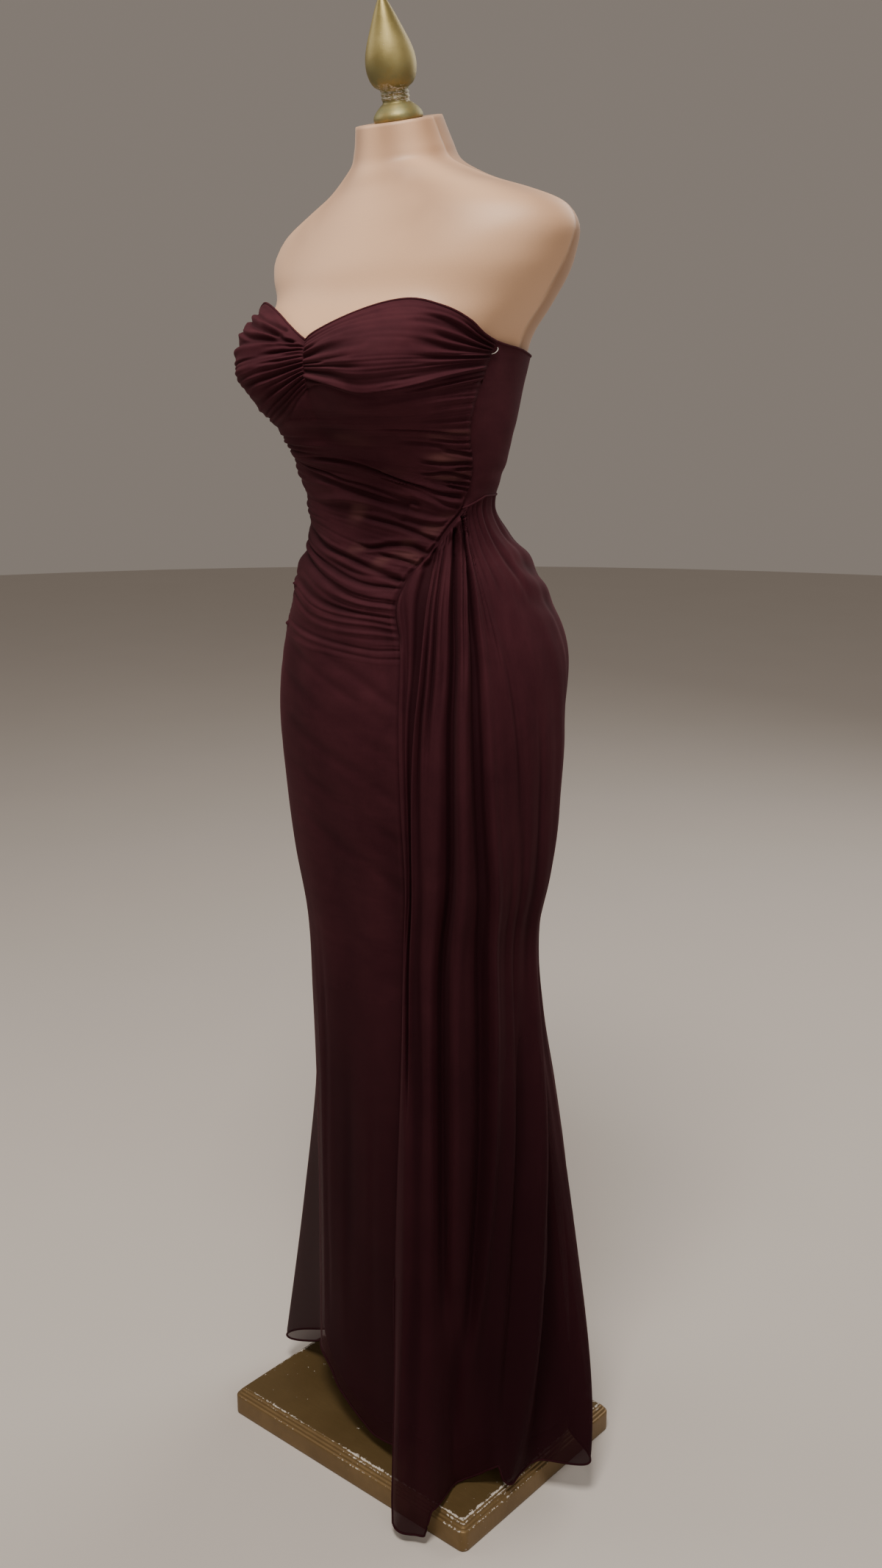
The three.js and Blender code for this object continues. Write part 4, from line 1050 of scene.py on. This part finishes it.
def gilt_plinth_nodes(n):
    cloud = n.noise(9, 4, 0.6)
    paint = n.mix(n.ramp(cloud, 0.3, 0.7), (0.145, 0.088, 0.032), (0.215, 0.138, 0.055))
    brush = n.noise(60, 4, 0.65, (1, 6, 1))
    paint = n.mix(n.ramp(brush, 0.4, 0.75, 0, 0.35), paint, (0.11, 0.072, 0.03))
    top = n.ramp(n.height(), 0.0357, 0.0359)
    paint = n.mix(n.times(top, 0.35), paint, (0.115, 0.082, 0.034))
    knock = n.attribute("knock")
    worn = n.noise(240, 5, 0.7, (1, 1, 1), 0.3)
    run = n.noise(13, 2, 0.5)
    ready = n.plus(n.times(knock, 0.3), n.times(n.attribute("corner"), 0.04))
    ready = n.plus(ready, n.ramp(run, 0.35, 0.65, -0.12, 0.09))
    chip = n.ramp(n.plus(worn, ready), 0.76, 0.79)
    fleck = n.times(n.ramp(n.noise(150, 3, 0.6), 0.72, 0.74), top)
    chip = n.math("MAXIMUM", chip, fleck)
    edge = n.bump(n.less(0, chip), 0.0006, 0.8)
    return {
        "Base Color": n.mix(chip, paint, (0.66, 0.6, 0.52)), "Metallic": n.ramp(chip, 0, 1, 0.45, 0),
        "Roughness": n.ramp(chip, 0, 1, 0.42, 0.8), "Normal": n.bump(brush, 0.0004, 0.25, edge),
    }


def gilt_finial_nodes(n):
    cloud = n.noise(30, 4, 0.6)
    paint = n.mix(n.ramp(cloud, 0.3, 0.7), (0.215, 0.172, 0.058), (0.33, 0.272, 0.108))
    up = n.height()
    waist = n.times(n.ramp(up, 1.6185, 1.6215), n.ramp(up, 1.6365, 1.6325))
    worn = n.noise(420, 5, 0.75, (0.6, 0.6, 1.8), 0.3)
    chip = n.ramp(n.plus(worn, n.times(waist, 0.17)), 0.67, 0.71)
    base = n.mix(chip, paint, (0.62, 0.57, 0.5))
    green = n.times(n.ramp(n.noise(60, 4, 0.7), 0.38, 0.6), n.ramp(up, 1.662, 1.636))
    base = n.mix(n.times(green, 0.65), base, (0.15, 0.165, 0.08))
    return {
        "Base Color": base, "Metallic": n.ramp(chip, 0, 1, 0.6, 0),
        "Roughness": n.ramp(cloud, 0.3, 0.7, 0.42, 0.54), "Normal": n.bump(worn, 0.0004, 0.3),
    }


def steel_nodes(n):
    brushed = n.noise(300, 3, 0.6, (1, 1, 0.05))
    return {
        "Base Color": n.mix(brushed, (0.36, 0.36, 0.37), (0.46, 0.46, 0.47)), "Metallic": 1,
        "Roughness": n.ramp(brushed, 0.3, 0.7, 0.28, 0.42), "Normal": n.bump(brushed, 0.0002, 0.2),
    }


def zip_nodes(n):
    wear = n.noise(500, 3, 0.6)
    return {
        "Base Color": n.mix(n.ramp(wear, 0.55, 0.7), (0.055, 0.016, 0.022), (0.16, 0.11, 0.1)),
        "Metallic": 0.4, "Roughness": n.ramp(wear, 0.3, 0.7, 0.25, 0.45),
    }


def thread_nodes(n):
    white = n.mix(n.noise(1500, 2), (0.75, 0.7, 0.66), (0.85, 0.82, 0.78))
    return {"Base Color": white, "Roughness": 0.7}


opaque = material("chiffon_over_lining", lambda n: chiffon_nodes(n, crinkle="level"))
sheer = material("chiffon_hanging", lambda n: chiffon_nodes(n, 0.82))
sheer_front = material("chiffon_gathered_front", lambda n: chiffon_nodes(n, 0.85, "both", True))
sheer_drape = material("chiffon_drape", lambda n: chiffon_nodes(n, 0.93))
rolled = material("chiffon_rolled_edge", chiffon_nodes)
lining = material("underskirt_cloth", lining_nodes)
jersey = material("form_jersey", jersey_nodes)
gilt_plinth = material("plinth_gilding", gilt_plinth_nodes)
gilt_finial = material("finial_gilding", gilt_finial_nodes)
steel = material("pole_steel", steel_nodes)
zip_enamel = material("zip_enamel", zip_nodes)
white_thread = material("white_thread", thread_nodes)


for obj, finish, slot, node in (
    (front, sheer_front, "chiffon", "front_panel"),
    (cup_left, opaque, "chiffon", "cup_left"),
    (cup_right, opaque, "chiffon", "cup_right"),
    (bodice_left, opaque, "chiffon", "bodice_left"),
    (bodice_right, opaque, "chiffon", "bodice_right"),
    (skirt_left, sheer_drape, "chiffon", "skirt_left"),
    (skirt_back, sheer, "chiffon", "skirt_back_right"),
    (under_front, lining, "lining", "lining_front"),
    (under_back, lining, "lining", "lining_back"),
    (form_cover, jersey, "jersey", "form_torso"),
    (plinth, gilt_plinth, "gilt_wood", "plinth"),
    (finial, gilt_finial, "gilt_finial", "finial"),
    (pole, steel, "steel", "stand_pole"),
    (neck_roll, rolled, "chiffon", None),
    (hem_front_roll, rolled, "chiffon", None),
    (hem_left_roll, rolled, "chiffon", None),
    (waist_roll, rolled, "chiffon", None),
    (thread, white_thread, "chiffon", None),
):
    obj.data.materials.append(finish)
    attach(obj, BODY)
    if node:
        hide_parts(node)
for node in ("zip_slider", "zip_pull"):
    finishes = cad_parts[node].data.materials
    finishes.clear()
    finishes.append(zip_enamel)

# ---- floor, light and camera
turn = circle(96)
disc = [(9000 * math.cos(a), 9000 * math.sin(a), -0.4) for a in turn]
floor = mesh_object("floor", disc, [list(range(96))])


def floor_nodes(n):
    pale = n.mix(n.noise(3, 2), (0.6, 0.56, 0.52), (0.62, 0.58, 0.54))
    return {"Base Color": pale, "Roughness": 0.9}


floor.data.materials.append(material("pale_floor", floor_nodes))

world = bpy.data.worlds.new("studio")
bpy.context.scene.world = world
world.use_nodes = True
background = world.node_tree.nodes["Background"].inputs
background["Color"].default_value = (0.86, 0.74, 0.64, 1)
background["Strength"].default_value = 0.27


def softbox(name, place, aim, size, power, colour):
    light = bpy.data.lights.new(name, "AREA")
    light.shape = "RECTANGLE"
    light.size, light.size_y = size
    light.energy = power
    light.color = colour
    obj = placed(name, light)
    obj.location = place
    obj.rotation_euler = (Vector(aim) - Vector(place)).to_track_quat("-Z", "Y").to_euler()


softbox("key", (0.72, -1.3, 3.65), (0, 0, 1.3), (0.9, 0.9), 98, (1, 0.93, 0.85))
softbox("side", (-1.9, -0.9, 2.6), (0, 0, 1.2), (1.2, 1.2), 14, (1, 0.93, 0.86))
softbox("fill", (2.6, -1.2, 1.8), (0, 0, 1.3), (1.2, 1.2), 10, (1, 0.95, 0.9))
softbox("back", (0.3, 2.8, 2.6), (0, 0, 1), (2.2, 2.2), 46, (1, 0.95, 0.9))

camera_data = bpy.data.cameras.new("camera")
camera_data.lens = 35.53
camera_data.sensor_width = 36
camera = placed("camera", camera_data)
azimuth, pitch = math.radians(40.542), math.radians(15.205)
outward = Vector((
    math.sin(azimuth) * math.cos(pitch), -math.cos(azimuth) * math.cos(pitch), math.sin(pitch),
))
camera.location = (1.17078, -1.32682, 1.35752)
camera.rotation_euler = (-outward).to_track_quat("-Z", "Y").to_euler()
bpy.context.scene.camera = camera
